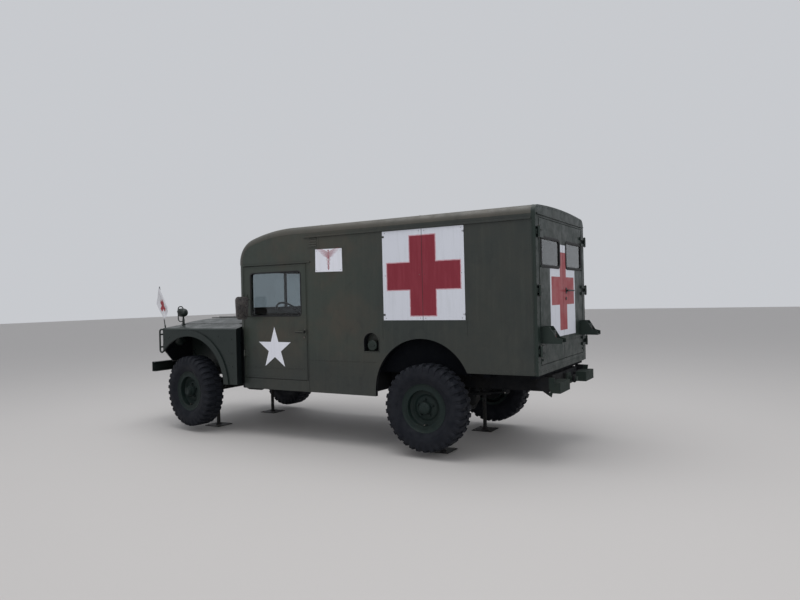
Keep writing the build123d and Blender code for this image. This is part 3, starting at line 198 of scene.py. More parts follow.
def paint_material(name, tones, dust=0.10, rough=0.40, inside=None, rearward=None, shine=0.5, tail=None):
    """Brushed-on paint that has stood outdoors: patchy, streaked and dusty low down, darkened by painted shade in its
    corners, and with 'inside' also by painted shade inside the body and in the wheel wells.

    It turns to the colour 'rearward' towards the rear and the foot, and to the tones 'tail' behind the body.
    """
    s = Shader(name)
    base, brown, faded = tones
    patches = s.ramp(s.noise(1.5, 6.0, 0.62), 0.40, 0.62)
    cloudy = s.ramp(s.noise(6.5, 7.0, 0.65, distortion=0.6), 0.36, 0.70)
    streaks = s.ramp(s.noise(3.0, 6.0, 0.65, s.stretched((8.0, 8.0, 0.5))), 0.44, 0.72)
    if rearward:
        share = s.math("MAXIMUM", s.ramp(s.part(0), -0.15, -1.30), s.ramp(s.part(2), up(0.75), up(0.20)))
        base = s.mix(share, base, rearward)
        brown = s.mix(s.math("MULTIPLY", share, 0.75), brown, rearward)
    if tail:
        behind = s.ramp(s.part(0), REAR_FACE_X - 0.02, REAR_FACE_X - 0.03)
        base, brown, faded = (s.mix(behind, dark, paint) for dark, paint in zip(tones, tail))
    color = s.mix(patches, base, brown)
    color = s.mix(s.math("MULTIPLY", streaks, 0.26), color, faded)
    color = s.mix(s.math("MULTIPLY", cloudy, 0.45), color, base)
    stains = s.noise(4.6, 7.0, 0.68, s.stretched((1.5, 1.5, 0.8)), distortion=0.8)
    color = s.mix(s.ramp(stains, 0.50, 0.72, 0.0, 0.24), color, STAIN_AND_SHADE_DARK)
    low = s.ramp(s.part(2), up(0.45), up(-0.25), 0.0, dust)
    flat = s.ramp(s.normal_part(2), 0.55, 0.98, 0.0, 0.13)
    grime = s.math("MULTIPLY", s.math("ADD", low, flat), s.ramp(s.noise(16.0, 7.0, 0.7), 0.40, 0.68))
    color = s.mix(grime, color, DUST)
    # Painted shade: darker in corners and creases, by ambient occlusion
    color = s.mix(s.ramp(s.crevices(0.035), 0.30, 0.90, 0.62, 0.0), color, STAIN_AND_SHADE_DARK)
    # Painted shade: 'cabin' darkens faces turned into the body and faces towards a wheel, 'well' darkens the fenders'
    # inner faces and wheel wells, and 'floor' is all shade, darkest underneath
    if inside == "cabin":
        color = s.mix(s.facing_in(), color, INTERIOR_SHADE)
        color = s.mix(s.facing_wheel(), color, STAIN_AND_SHADE_DARK)
    elif inside == "well":
        color = s.mix(s.math("MAXIMUM", s.facing_across(-0.08, -0.30), s.facing_wheel()), color, STAIN_AND_SHADE_DARK)
    elif inside == "floor":
        above = s.ramp(s.normal_part(2), 0.3, 0.7)
        color = s.mix(s.math("MAXIMUM", above, s.facing_across(-0.03, -0.15)), STAIN_AND_SHADE_DARK, INTERIOR_SHADE)
    roughness = s.ramp(s.noise(9.0, 6.0, 0.65), 0.3, 0.7, rough - 0.07, rough + 0.14)
    dents = s.bump(s.noise(2.1, 2.0, 0.4), 0.005, 0.5)
    orange_peel = s.bump(s.noise(210.0, 3.0, 0.5), 0.0004, 0.5, dents)
    return s.finish(color, roughness, orange_peel, Specular_IOR_Level=shine)


def mottled_material(name, base, other, scale, rough=(0.4, 0.6), bump=0.0005, **fixed):
    """Two tones mixed by noise, with a fine bump."""
    s = Shader(name)
    color = s.mix(s.ramp(s.noise(scale, 7.0, 0.65), 0.38, 0.66), base, other)
    roughness = s.ramp(s.noise(scale * 2.3, 5.0), 0.3, 0.7, *rough)
    return s.finish(color, roughness, s.bump(s.noise(scale * 9, 4.0), bump, 0.6), **fixed)


def enamel_material(name, base, streaked):
    """White enamel on board, grey-streaked by rain, with painted shade in its corners."""
    s = Shader(name)
    streaks = s.noise(3.2, 6.0, 0.65, s.stretched((9.0, 9.0, 0.7)))
    color = s.mix(s.ramp(streaks, 0.44, 0.72, 0.0, 0.38), base, streaked)
    color = s.mix(s.ramp(s.noise(60.0, 5.0, 0.7), 0.66, 0.78, 0.0, 0.45), color, (0.26, 0.24, 0.21))
    # Painted shade: darker in corners and recesses, by ambient occlusion
    color = s.mix(s.ramp(s.crevices(0.02), 0.3, 0.9, 0.5, 0.0), color, (0.10, 0.10, 0.09))
    roughness = s.ramp(s.noise(8.0, 5.0), 0.3, 0.7, 0.34, 0.52)
    return s.finish(color, roughness, s.bump(s.noise(26.0, 3.0), 0.0006, 0.4))


def red_material(name, base, worn):
    """Dark red sign paint, chalky in streaks."""
    s = Shader(name)
    streaks = s.noise(4.0, 6.0, 0.65, s.stretched((8.0, 8.0, 0.8)))
    color = s.mix(s.ramp(streaks, 0.42, 0.72, 0.0, 0.7), base, worn)
    color = s.mix(s.ramp(s.noise(75.0, 5.0, 0.7), 0.68, 0.80, 0.0, 0.5), color, (0.45, 0.40, 0.40))
    roughness = s.ramp(s.noise(9.0, 5.0), 0.3, 0.7, 0.38, 0.55)
    return s.finish(color, roughness, s.bump(s.noise(30.0, 3.0), 0.0005, 0.4))


def woven_material(name, base, other, pitch, rough=0.9, sheen=0.15):
    """A plain weave whose threads cross, faded in patches."""
    s = Shader(name)
    threads = s.math("MAXIMUM", s.waves(pitch, "Y", 0.6), s.waves(pitch, "Z", 0.6))
    threads = s.math("MAXIMUM", s.waves(pitch, "X", 0.6), threads)
    tone = s.mix(s.ramp(s.noise(6.0, 6.0, 0.6), 0.36, 0.68), base, other)
    color = s.mix(s.math("MULTIPLY", threads, 0.3), tone, tuple(0.55 * c for c in base))
    return s.finish(color, rough, s.bump(threads, 0.0006, 0.7), Sheen_Weight=sheen)


def rubber_material():
    """Old black rubber: dusty in its grooves, scuffed on the lugs."""
    s = Shader("tyre_rubber")
    tone = s.ramp(s.noise(6.0, 7.0, 0.65), 0.36, 0.68)
    color = s.mix(tone, (0.0040, 0.0055, 0.0100), (0.0085, 0.0100, 0.0150))
    color = s.mix(s.ramp(s.noise(28.0, 7.0, 0.7), 0.55, 0.78, 0.0, 0.5), color, (0.020, 0.021, 0.024))
    grooves = s.ramp(s.crevices(0.02), 0.25, 0.9, 0.45, 0.0)
    dirt = s.math("MULTIPLY", grooves, s.ramp(s.noise(12.0, 5.0), 0.45, 0.70))
    color = s.mix(dirt, color, (0.040, 0.037, 0.032))
    roughness = s.ramp(s.noise(14.0, 5.0), 0.3, 0.7, 0.66, 0.88)
    return s.finish(color, roughness, s.bump(s.noise(90.0, 5.0, 0.6), 0.0010, 0.6), Specular_IOR_Level=0.28)


def glass_material(name, tint, rough):
    """Clear glass with a film of dust."""
    s = Shader(name)
    film = s.ramp(s.noise(5.0, 6.0, 0.7, s.stretched((1.0, 1.0, 0.5))), 0.50, 0.80, rough, rough + 0.03)
    return s.finish(tint, film, IOR=1.45, Transmission_Weight=1.0)


GREEN = ((0.0165, 0.0265, 0.0225), (0.0200, 0.0275, 0.0230), (0.026, 0.036, 0.031))
FRONT = ((0.0130, 0.0205, 0.0185), (0.0160, 0.0215, 0.0190), (0.024, 0.033, 0.030))
SIDE = ((0.0305, 0.0400, 0.0310), (0.0505, 0.0440, 0.0315), (0.053, 0.059, 0.047))
RIM = ((0.010, 0.019, 0.0175), (0.013, 0.020, 0.018), (0.022, 0.031, 0.029))
# The roof's tones are lighter and browner than the sides': sun-faded paint, with painted top light as well
ROOF = ((0.056, 0.055, 0.044), (0.073, 0.066, 0.053), (0.084, 0.079, 0.070))
CHASSIS = ((0.005, 0.006, 0.008), (0.009, 0.009, 0.009), (0.012, 0.012, 0.012))
MATERIALS = {
    "drab": paint_material("olive_paint", SIDE, inside="cabin", rearward=(0.019, 0.025, 0.022)),
    "green": paint_material("green_paint", GREEN, shine=0.28),
    "front": paint_material("front_paint", FRONT, rough=0.34, shine=0.4),
    "fender": paint_material("fender_paint", FRONT, rough=0.34, inside="well", shine=0.4),
    # The floor's colour is all painted shade
    "floor": paint_material("floor_painted_shade", SIDE, rough=0.7, inside="floor", shine=0.08),
    "rim": paint_material("rim_paint", RIM, 0.05, 0.5, shine=0.18),
    "roof": paint_material("roof_paint", ROOF, 0.0, 0.45, "cabin"),
    "dark_metal": paint_material("chassis_paint", CHASSIS, 0.12, 0.72, shine=0.2),
    "frame": paint_material("frame_paint", CHASSIS, 0.12, 0.72, shine=0.2, tail=GREEN),
    "white_paint": enamel_material("white_enamel", (0.66, 0.68, 0.745), (0.52, 0.545, 0.585)),
    "star_paint": enamel_material("star_enamel", (0.79, 0.80, 0.87), (0.66, 0.68, 0.73)),
    "red_paint": red_material("red_enamel", (0.205, 0.009, 0.024), (0.245, 0.022, 0.040)),
    "red_faded": red_material("faded_red_enamel", (0.30, 0.033, 0.042), (0.36, 0.060, 0.070)),
    "tyre": rubber_material(),
    "canvas": woven_material("seat_canvas", (0.026, 0.029, 0.018), (0.034, 0.034, 0.023), 240.0),
    "cloth": woven_material("white_cloth", (0.72, 0.72, 0.75), (0.64, 0.64, 0.68), 420.0, 0.85, 0.3),
    "glass": glass_material("window_glass", (0.44, 0.49, 0.51), 0.0),
    "lamp": glass_material("lamp_glass", (0.85, 0.87, 0.85), 0.06),
}
for slot, name, base, other, *rest in (
    ("engine_grey", "engine_paint", (0.02, 0.025, 0.02), (0.03, 0.025, 0.02), 9.0),
    ("steel", "worn_steel", (0.20, 0.195, 0.185), (0.085, 0.062, 0.045), 14.0, (0.35, 0.6), 0.0005, 0.85),
    ("rust", "rusty_pipe", (0.085, 0.038, 0.02), (0.03, 0.02, 0.015), 18.0, (0.75, 0.95), 0.001),
    ("pink_line", "faded_red_line", (0.52, 0.25, 0.30), (0.58, 0.42, 0.46), 30.0),
    ("gasket", "window_rubber", (0.004, 0.005, 0.006), (0.009, 0.009, 0.010), 24.0, (0.6, 0.8)),
    ("mirror", "mirror_housing", (0.120, 0.109, 0.105), (0.055, 0.051, 0.053), 15.0, (0.3, 0.6), 0.0004, 0.3),
    # The mirror's face: a brown-grey mottle that is a painted reflection of ground and trees
    ("mirror_face", "mirror_painted_reflection", (0.125, 0.114, 0.108), (0.062, 0.060, 0.063), 22.0, (0.2, 0.45), 0.0001, 0.4),
    ("black", "black_plastic", (0.008, 0.008, 0.009), (0.014, 0.014, 0.015), 20.0),
    ("stand_paint", "stand_paint", (0.006, 0.007, 0.008), (0.014, 0.011, 0.009), 22.0, (0.55, 0.8)),
    ("dial", "dial_face", (0.30, 0.30, 0.27), (0.22, 0.22, 0.2), 40.0, (0.3, 0.4)),
    ("lens_red", "red_lens", (0.16, 0.008, 0.008), (0.09, 0.005, 0.005), 50.0, (0.15, 0.3)),
    ("reflector", "silvered", (0.62, 0.62, 0.6), (0.48, 0.48, 0.46), 12.0, (0.12, 0.25), 0.0001, 1.0),
):
    metallic = {"Metallic": rest.pop()} if len(rest) == 4 else {}
    MATERIALS[slot] = mottled_material(name, base, other, *rest, **metallic)

# Dressing of the CAD nodes

SMOOTH_ANGLE = radians(38)
BEVELS = {"glass": 0.0005, "cloth": 0.0005, "white_paint": 0.0006}
PANEL_BEVEL = 0.0025
OWN_FINISH = {
    "roof": "roof", "rear_wall": "green", "left_rear_door": "green", "right_rear_door": "green",
    "front_fenders": "fender", "hood": "fender", "grille_panel": "fender", "front_bumper": "front",
    "floor": "floor", "frame": "frame",
}


def soften(piece, width):
    """Rounds the sharp edges of a piece, with smooth shading between them."""
    piece.data.shade_smooth()
    edge = piece.modifiers.new("edges", "BEVEL")
    edge.width = width
    edge.segments = 2
    edge.limit_method = "ANGLE"
    edge.angle_limit = SMOOTH_ANGLE
    edge.use_clamp_overlap = True
    edge.harden_normals = True


for subpart in frame["record"]["subparts"]:
    name, slot = subpart["node"], subpart["material_slot"]
    node = NODES[name]
    node.data.materials.clear()
    node.data.materials.append(MATERIALS[OWN_FINISH.get(name, slot)])
    if "custom_normal" in node.data.attributes:
        node.data.attributes.remove(node.data.attributes["custom_normal"])
    node.modifiers.new("weld", "WELD").merge_threshold = 0.00002
    soften(node, BEVELS.get(slot, PANEL_BEVEL))

# The bumper's web is one long face round two small holes, where a bevel would leave a streak
NODES["front_bumper"].modifiers.remove(NODES["front_bumper"].modifiers["edges"])
NODES["front_bumper"].data.shade_flat()


# Building of the scene's own pieces


def in_scene(name, data):
    """A new object in the scene."""
    made = bpy.data.objects.new(name, data)
    bpy.context.scene.collection.objects.link(made)
    return made


def spread(low, high, count):
    """Evenly spaced places from low to high."""
    return [low + (high - low) * i / (count - 1) for i in range(count)]


def circle(sides, turn=0.0):
    """Directions all round, as (cosine, sine). turn is a share of one step."""
    angles = [2 * pi * (i + turn) / sides for i in range(sides)]
    return [(cos(angle), sin(angle)) for angle in angles]


def on_axis(axis, a, b, along):
    """A point from its places across and along an axis."""
    return {"x": (along, a, b), "y": (a, along, b), "z": (a, b, along)}[axis]


def rounded_path(points, radius, steps=6):
    """Points along a path whose corners are arcs of a radius."""
    points = [Vector(p) for p in points]
    path = [points[0]]
    for before, corner, after in zip(points, points[1:], points[2:]):
        back = (before - corner).normalized()
        ahead = (after - corner).normalized()
        half = back.angle(ahead) / 2
        reach = radius / tan(half)
        centre = corner + (back + ahead).normalized() * (radius / sin(half))
        start = corner + back * reach - centre
        end = corner + ahead * reach - centre
        path += [centre + start.slerp(end, step / steps) * radius for step in range(steps + 1)]
    return path + [points[-1]]


def rounded_loop(centre, width, height, radius, steps=5):
    """A closed rounded rectangle about a centre, as (across, up) points."""
    loop = []
    for side_x, side_z, turn in ((1, 1, 0), (-1, 1, 90), (-1, -1, 180), (1, -1, 270)):
        for step in range(steps + 1):
            angle = radians(turn + 90 * step / steps)
            across = side_x * (width / 2 - radius) + radius * cos(angle)
            loop.append((centre[0] + across, centre[1] + side_z * (height / 2 - radius) + radius * sin(angle)))
    return loop


class Form:
    """One piece in the making: shapes joined in a mesh, each with one of the piece's materials.

    Points are given for the vehicle's left, and mirrored for a piece of the right side.
    """

    def __init__(self, name, *finishes, side="left"):
        self.name = name
        self.mesh = bmesh.new()
        self.finishes = list(finishes)
        self.finish = 0
        self.sign = SIDES[side]
        self.frame = Matrix.Identity(4)

    def both_sides(self):
        """Runs a loop for the left side, then for the right."""
        for self.sign in SIDES.values():
            yield self.sign
        self.sign = 1

    def sided(self, point):
        """A point on its side of the vehicle."""
        return Vector((point[0], self.sign * point[1], point[2]))

    def use(self, finish):
        """The material of what is added next."""
        if finish not in self.finishes:
            self.finishes.append(finish)
        self.finish = self.finishes.index(finish)
        return self

    def add(self, points, faces):
        made = [self.mesh.verts.new(self.frame @ self.sided(p)) for p in points]
        for face in faces:
            try:
                self.mesh.faces.new([made[i] for i in face]).material_index = self.finish
            except ValueError:
                continue
        return made

    def rings(self, rings, closed=False):
        """Rings of as many points each, joined by a skin, with caps unless the rings close on themselves."""
        count = len(rings[0])
        points = [p for ring in rings for p in ring]
        faces = []
        for i in range(len(rings) if closed else len(rings) - 1):
            here, there = i * count, (i + 1) % len(rings) * count
            for j in range(count):
                k = (j + 1) % count
                faces.append((here + j, here + k, there + k, there + j))
        if not closed:
            faces += [tuple(reversed(range(count))), tuple(range(len(points) - count, len(points)))]
        self.add(points, faces)

    def block(self, x, y, z):
        self.prism([(x[0], y[0]), (x[1], y[0]), (x[1], y[1]), (x[0], y[1])], "z", z)

    def prism(self, outline, axis, span):
        """An outline in the two other axes, drawn out along one."""
        self.rings([[on_axis(axis, a, b, place) for a, b in outline] for place in span])

    def lathe(self, profile, centre=(0, 0, 0), axis="y", sides=48, closed=False):
        """A profile of (along, radius) points, turned about an axis through the centre."""
        rings = []
        for along, radius in profile:
            ring = [on_axis(axis, radius * c, radius * s, along) for c, s in circle(sides)]
            rings.append([tuple(a + b for a, b in zip(centre, point)) for point in ring])
        self.rings(rings, closed)

    def rod(self, start, end, radius, sides=16, far_radius=None):
        """A straight round bar, or a cone if its far end has another radius."""
        self.pipe([start, end], radius, sides, far_radius)

    def pipe(self, path, radius, sides=12, far_radius=None, closed=False):
        """A round bar along a path."""
        path = [self.sided(p) for p in path]
        last = len(path) - 1
        rings = []
        normal = None
        for i, here in enumerate(path):
            before, after = (i - 1, (i + 1) % len(path)) if closed else (max(i - 1, 0), min(i + 1, last))
            run = (path[after] - path[before]).normalized()
            if normal is None:
                normal = run.orthogonal().normalized()
            normal = (normal - run * normal.dot(run)).normalized()
            other = run.cross(normal)
            size = radius if far_radius is None else radius + (far_radius - radius) * i / last
            rings.append([self.sided(here + normal * c * size + other * s * size) for c, s in circle(sides)])
        self.rings(rings, closed)

    def trim(self, loop, section, axis, level, out=1):
        """A closed strip round a loop on a face. Its section is (outward, proud) points."""
        rings = []
        for i, (a, b) in enumerate(loop):
            run = (Vector(loop[(i + 1) % len(loop)]) - Vector(loop[i - 1])).normalized()
            rings.append([
                on_axis(axis, a + run.y * off, b - run.x * off, level + out * proud) for off, proud in section
            ])
        self.rings(rings, closed=True)

    def gasket(self, centre, size, corner, axis, level, out, width, proud):
        """A rubber strip round a window's hole, lapping its edge inside and out."""
        section = [(-width * 0.45, -0.006), (-width * 0.5, proud * 0.5), (-width * 0.2, proud)]
        section += [(width * 0.55, proud), (width, proud * 0.3), (width, -0.001)]
        self.trim(rounded_loop(centre, *size, corner), section, axis, level, out)

    def bolt(self, place, axis, radius, height, out=1):
        """A hexagon head standing out of a face."""
        foot = out * height * 0.2
        profile = [(0, radius * 1.25), (foot, radius * 1.25), (foot, radius)]
        self.lathe(profile + [(out * height, radius), (out * height * 1.15, radius * 0.75)], place, axis, 6)

    def screw(self, place, axis, radius, out=1):
        """A low round head."""
        self.lathe([(-out * 0.001, radius), (out * 0.0012, radius), (out * 0.0026, radius * 0.6)], place, axis, 10)

    def done(self, body, replaces=(), bevel=None):
        """Makes the piece, on its body and with its slot."""
        bmesh.ops.remove_doubles(self.mesh, verts=self.mesh.verts, dist=1e-6)
        bmesh.ops.recalc_face_normals(self.mesh, faces=self.mesh.faces)
        data = bpy.data.meshes.new(self.name)
        self.mesh.to_mesh(data)
        self.mesh.free()
        for finish in self.finishes:
            data.materials.append(MATERIALS[finish])
        piece = in_scene(self.name, data)
        if bevel:
            soften(piece, bevel)
        else:
            data.shade_smooth()
            data.set_sharp_from_angle(angle=SMOOTH_ANGLE)
        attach(piece, body)
        if replaces:
            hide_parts(*replaces)
        return piece


# Wheels, each about its own axis, with y outward

LUGS = 34
LUG_SHARE = 0.60
TREAD_BASE = 0.408
# y, inner and outer radius, sweep and width of a lug, from the tread's middle to its foot on the sidewall
LUG_STATIONS = (
    (0.006, TREAD_BASE, 0.4245, 0.00, 1.00), (0.060, TREAD_BASE, 0.4250, 0.02, 1.00),
    (0.098, TREAD_BASE - 0.004, 0.4230, 0.06, 0.98), (0.112, 0.384, 0.4120, 0.08, 0.94),
    (0.1205, 0.362, 0.3880, 0.10, 0.82), (0.1220, 0.344, 0.3560, 0.11, 0.70),
)
CARCASS = [
    (0.074, 0.2075), (0.0835, 0.226), (0.0900, 0.238), (0.098, 0.250), (0.109, 0.272), (0.1185, 0.296),
    (0.1235, 0.318), (0.1215, 0.342), (0.1165, 0.366), (0.112, 0.388), (0.101, TREAD_BASE - 0.003),
    (0.03, TREAD_BASE + 0.002),
]
FLANGE = [
    (0.0200, 0.128), (0.0205, 0.150), (0.024, 0.168), (0.032, 0.1775), (0.060, 0.1780), (0.0840, 0.1750),
    (0.0885, 0.1765), (0.0890, 0.1800), (0.0830, 0.1950), (0.0815, 0.2120), (0.0850, 0.2260), (0.0895, 0.2330),
    (0.0925, 0.2350), (0.0925, 0.2385), (0.0880, 0.2390), (0.0755, 0.2085), (-0.0755, 0.2085), (-0.0785, 0.2205),
    (-0.0835, 0.2275), (-0.0895, 0.228), (-0.0895, 0.225), (-0.086, 0.2225), (-0.083, 0.1975), (0.008, 0.1965),
    (0.013, 0.184), (0.0125, 0.128),
]
DISH = [
    (0.0125, 0.12), (0.0195, 0.130), (0.0265, 0.121), (0.0345, 0.106), (0.0375, 0.096), (0.0385, 0.068),
    (0.0405, 0.064),
]
HUB = {
    "front": [
        (0.0745, 0.0605), (0.0775, 0.0585), (0.0785, 0.0535), (0.1085, 0.0515), (0.1135, 0.0485), (0.1145, 0.040),
        (0.1195, 0.0385), (0.1205, 0.030), (0.1185, 0.026), (0.1185, 0.0001),
    ],
    "rear": [
        (0.0715, 0.0605), (0.0765, 0.0575), (0.0815, 0.0545), (0.0835, 0.0505), (0.0925, 0.0385), (0.0955, 0.030),
        (0.0960, 0.0001),
    ],
}
# y of the hub's face and radius of its circle of bolts
HUB_FACE = {"front": (0.1145, 0.045), "rear": (0.0835, 0.0475)}
HUB_BACK = [(-0.0225, 0.099), (0.018, 0.092), (0.0125, 0.1245)]
DRUM = [(-0.0835, 0.098), (-0.0835, 0.1585), (-0.0795, 0.165), (-0.030, 0.165), (-0.0225, 0.160), (-0.0225, 0.098)]
NUT_CIRCLE = 0.083
VALVE = [(0, 0.030, -0.166), (0, 0.066, -0.162), (0, 0.078, -0.161)]


def tread_lug(form, side, lug):
    """One block of the tread: from the middle line out over the shoulder, a little swept back."""
    pitch = 2 * pi / LUGS
    start = (lug + (0 if side > 0 else 0.5)) * pitch
    rings = []
    for y, low, high, sweep, width in LUG_STATIONS:
        half = LUG_SHARE * width / 2
        centre = LUG_SHARE / 2 + sweep
        ring = []
        for share, radius in (
            (centre - half - 0.03, low - 0.003), (centre + half + 0.03, low - 0.003),
            (centre + half - 0.05, high), (centre - half + 0.05, high),
        ):
            angle = start + share * pitch
            ring.append((radius * cos(angle), side * y, radius * sin(angle)))
        rings.append(ring)
    form.rings(rings)


def tyre(form):
    """The casing, its ribs and beads, and the tread's two staggered rows of lugs."""
    form.lathe(CARCASS + [(-y, radius) for y, radius in reversed(CARCASS)], sides=112, closed=True)
    for side in (1, -1):
        for y, radius in ((0.1155, 0.286), (0.0985, 0.2535)):
            rib = [(y, radius - 0.003), (y + 0.0018, radius), (y, radius + 0.003), (y - 0.003, radius)]
            form.lathe([(side * along, reach) for along, reach in rib], sides=112, closed=True)
    for lug in range(LUGS):
        tread_lug(form, 1, lug)
        tread_lug(form, -1, lug)


def rim(form, end):
    """A rim with a deep dish, the hub, its nuts and the brake drum behind."""
    form.lathe(FLANGE, sides=72, closed=True)
    form.lathe(DISH + HUB[end], sides=64)
    form.lathe(DRUM, closed=True)
    form.lathe(HUB_BACK)
    for c, s in circle(5, 0.25):
        place = (NUT_CIRCLE * c, 0.0365, NUT_CIRCLE * s)
        form.lathe([(0, 0.0145), (0.004, 0.0145), (0.004, 0.0115), (0.0175, 0.0115), (0.0195, 0.0095)], place, "y", 6)
        form.lathe([(0.018, 0.0065), (0.0285, 0.0065), (0.0295, 0.0055)], place, "y", 10)
    face, reach = HUB_FACE[end]
    for c, s in circle(8, 0.5):
        form.bolt((reach * c, face - 0.002, reach * s), "y", 0.0062, 0.0052)
    form.use("steel").rod(VALVE[0], VALVE[1], 0.0042, 8)
    form.rod(VALVE[1], VALVE[2], 0.0055, 8)


def wheel_place(end, sign):
    """Where a wheel stands: its middle, facing outward, the front ones turned about their kingpins."""
    facing = Matrix.Rotation(0 if sign > 0 else pi, 4, "Z")
    if end == "rear":
        return Matrix.Translation((REAR_X, sign * WHEEL_Y, AXLE_Z)) @ facing
    pivot = Matrix.Translation((FRONT_X, sign * KINGPIN_Y, AXLE_Z))
    out = Matrix.Translation((0, sign * (WHEEL_Y - KINGPIN_Y), 0))
    return pivot @ Matrix.Rotation(PARKED_STEER, 4, "Z") @ out @ facing


for end in ("front", "rear"):
    for side, sign in SIDES.items():
        form = Form(f"{side}_{end}_tyre_rubber", "tyre")
        form.frame = wheel_place(end, sign)
        tyre(form)
        form.done(f"{side}_{end}_wheel", [f"{side}_{end}_tyre"])
        form = Form(f"{side}_{end}_wheel_disc", "rim", "steel")
        form.frame = wheel_place(end, sign)
        rim(form, end)
        form.done(f"{side}_{end}_wheel", [f"{side}_{end}_rim"], 0.0012)


# Front end: guards, lamps, radiator core and pennant

PANEL_X = NOSE_X + 0.018
GUARD_X = FRONT_X + 0.640
GUARD_BAR = 0.011
GUARD_Y = (0.530, 0.860)
STAFF_FOOT = Vector((FRONT_X + 0.530, GUARD_Y[1], up(0.745)))
STAFF_TOP = Vector((FRONT_X + 0.628, GUARD_Y[1], up(1.290)))
HEADLAMP = (PANEL_X, 0.690, up(0.622))
HEADLAMP_PARTS = (
    ("front", 56, [
        (-0.077, 0.030), (-0.070, 0.060), (-0.040, 0.086), (-0.004, 0.0925), (0.0005, 0.1085), (0.010, 0.1085),
        (0.0155, 0.104), (0.016, 0.093), (0.011, 0.088), (-0.004, 0.087), (-0.040, 0.080),
    ]),
    ("reflector", 48, [(0.004, 0.0868), (-0.018, 0.078), (-0.040, 0.056), (-0.052, 0.024), (-0.054, 0.001)]),
    ("lamp", 48, [(0.006, 0.0868), (0.0115, 0.070), (0.0148, 0.048), (0.0158, 0.024), (0.016, 0.0005)]),
)
BLACKOUT = Vector((FRONT_X + 0.440, 0.660, up(0.951)))
BLACKOUT_SHELL = [
    (-0.065, 0.001), (-0.064, 0.018), (-0.058, 0.034), (-0.044, 0.047), (-0.022, 0.0535), (0.018, 0.0548),
    (0.0195, 0.0548), (0.0205, 0.0535), (0.036, 0.0535), (0.040, 0.050), (0.040, 0.044), (0.034, 0.043),
]


def headlamp_guards():
    form = Form("headlamp_guard_bars", "front", "steel")
    for _ in form.both_sides():
        for y in GUARD_Y:
            corners = [
                (PANEL_X, y, up(0.744)), (GUARD_X, y, up(0.744)), (GUARD_X, y, up(0.420)),
                (PANEL_X + 0.030, y, up(0.520)), (PANEL_X - 0.001, y, up(0.520)),
            ]
            form.pipe(rounded_path(corners, 0.030), GUARD_BAR, 14)
            for z in (up(0.744), up(0.520)):
                form.lathe([(0, 0.024), (0.005, 0.024), (0.006, 0.022)], (PANEL_X, y, z), "x", 20)
                for dy in (-0.016, 0.016):
                    form.bolt((PANEL_X + 0.005, y + dy, z), "x", 0.004, 0.004)
        for z in (up(0.680), up(0.520)):
            form.rod((GUARD_X, GUARD_Y[0], z), (GUARD_X, GUARD_Y[1], z), GUARD_BAR, 14)
    form.rod(STAFF_FOOT, STAFF_TOP, 0.006, 12)
    form.rod(STAFF_FOOT - Vector((0.0012, 0, 0.0066)), STAFF_FOOT.lerp(STAFF_TOP, 0.10), 0.0092, 12)
    form.done("truck", ["headlamp_guards"])


def lamps():
    """Both headlamps, and the blackout lamp on its stem with the hoop over it."""
    form = Form("front_lamps", "front", "lamp", "reflector", "black")
    for _ in form.both_sides():
        for finish, sides, profile in HEADLAMP_PARTS:
            form.use(finish).lathe(profile, HEADLAMP, "x", sides)
        form.use("front")
        for c, s in circle(3, 0.75):
            form.screw((PANEL_X + 0.013, HEADLAMP[1] + 0.099 * c, HEADLAMP[2] + 0.099 * s), "x", 0.0045)
    x, y, z = BLACKOUT
    form.lathe(BLACKOUT_SHELL, BLACKOUT, "x", 40)
    form.use("black").lathe([(0.036, 0.0445), (0.038, 0.030), (0.0385, 0.001)], BLACKOUT, "x", 40)
    form.use("lamp").block((x + 0.0375, x + 0.0405), (y - 0.030, y + 0.030), (z - 0.012, z - 0.002))
    visor = [(0.054 * cos(a), 0.004 + 0.049 * sin(a)) for a in spread(0, pi, 13)]
    outline = [(y + dy, z + dz) for dy, dz in visor] + [(y + dy * 0.94, z + dz * 0.94) for dy, dz in reversed(visor)]
    form.use("front").prism(outline, "x", (x + 0.030, x + 0.045))
    foot = (x - 0.010, y, COWL_Z - 0.0047)
    form.lathe([(0, 0.0155), (0.060, 0.0150), (0.085, 0.011), (0.150, 0.013)], foot, "z", 16)
    form.lathe([(0.0045, 0.015), (0.0045, 0.030), (0.011, 0.030), (0.014, 0.018)], foot, "z", 24)
    hoop = ((-0.010, -0.115), (0.085, -0.115), (0.085, 0.078), (-0.010, 0.078), (-0.010, 0.045))
    form.pipe(rounded_path([(x + dx, y, z + dz) for dx, dz in hoop], 0.040, 8), 0.007, 12)
    form.done("truck", ["lamps"])


def radiator_core():
    """The dark finned core and its straps that show between the grille's slots."""
    form = Form("radiator_core", "dark_metal", "black")
    half = 0.395
    bottom, top = up(0.392), up(0.742)
    x = NOSE_X - 0.060
    form.block((x - 0.030, x), (-half, half), (bottom, top))
    form.use("black")
    for y in spread(-half + 0.020, half - 0.020, 46):
        form.block((x - 0.001, x + 0.008), (y - 0.0022, y + 0.0022), (bottom + 0.010, top - 0.010))
    for z in spread(bottom + 0.014, top - 0.014, 40):
        form.block((x + 0.001, x + 0.005), (-half + 0.012, half - 0.012), (z - 0.0008, z + 0.0008))
    form.use("dark_metal")
    for _ in form.both_sides():
        for z in (bottom + 0.06, top - 0.10):
            form.block((x - 0.020, x - 0.010), (0.38, 0.474), (z, z + 0.04))
    form.done("truck")


# Ahead of the front axle and above the wheel axes: both ends of the edge on the staff, then of the loose edge
PENNANT_CORNERS = ((0.6260, 1.2870), (0.6720, 1.0750), (0.4350, 1.0240), (0.5150, 0.8650))
PENNANT_THICK = 0.0011


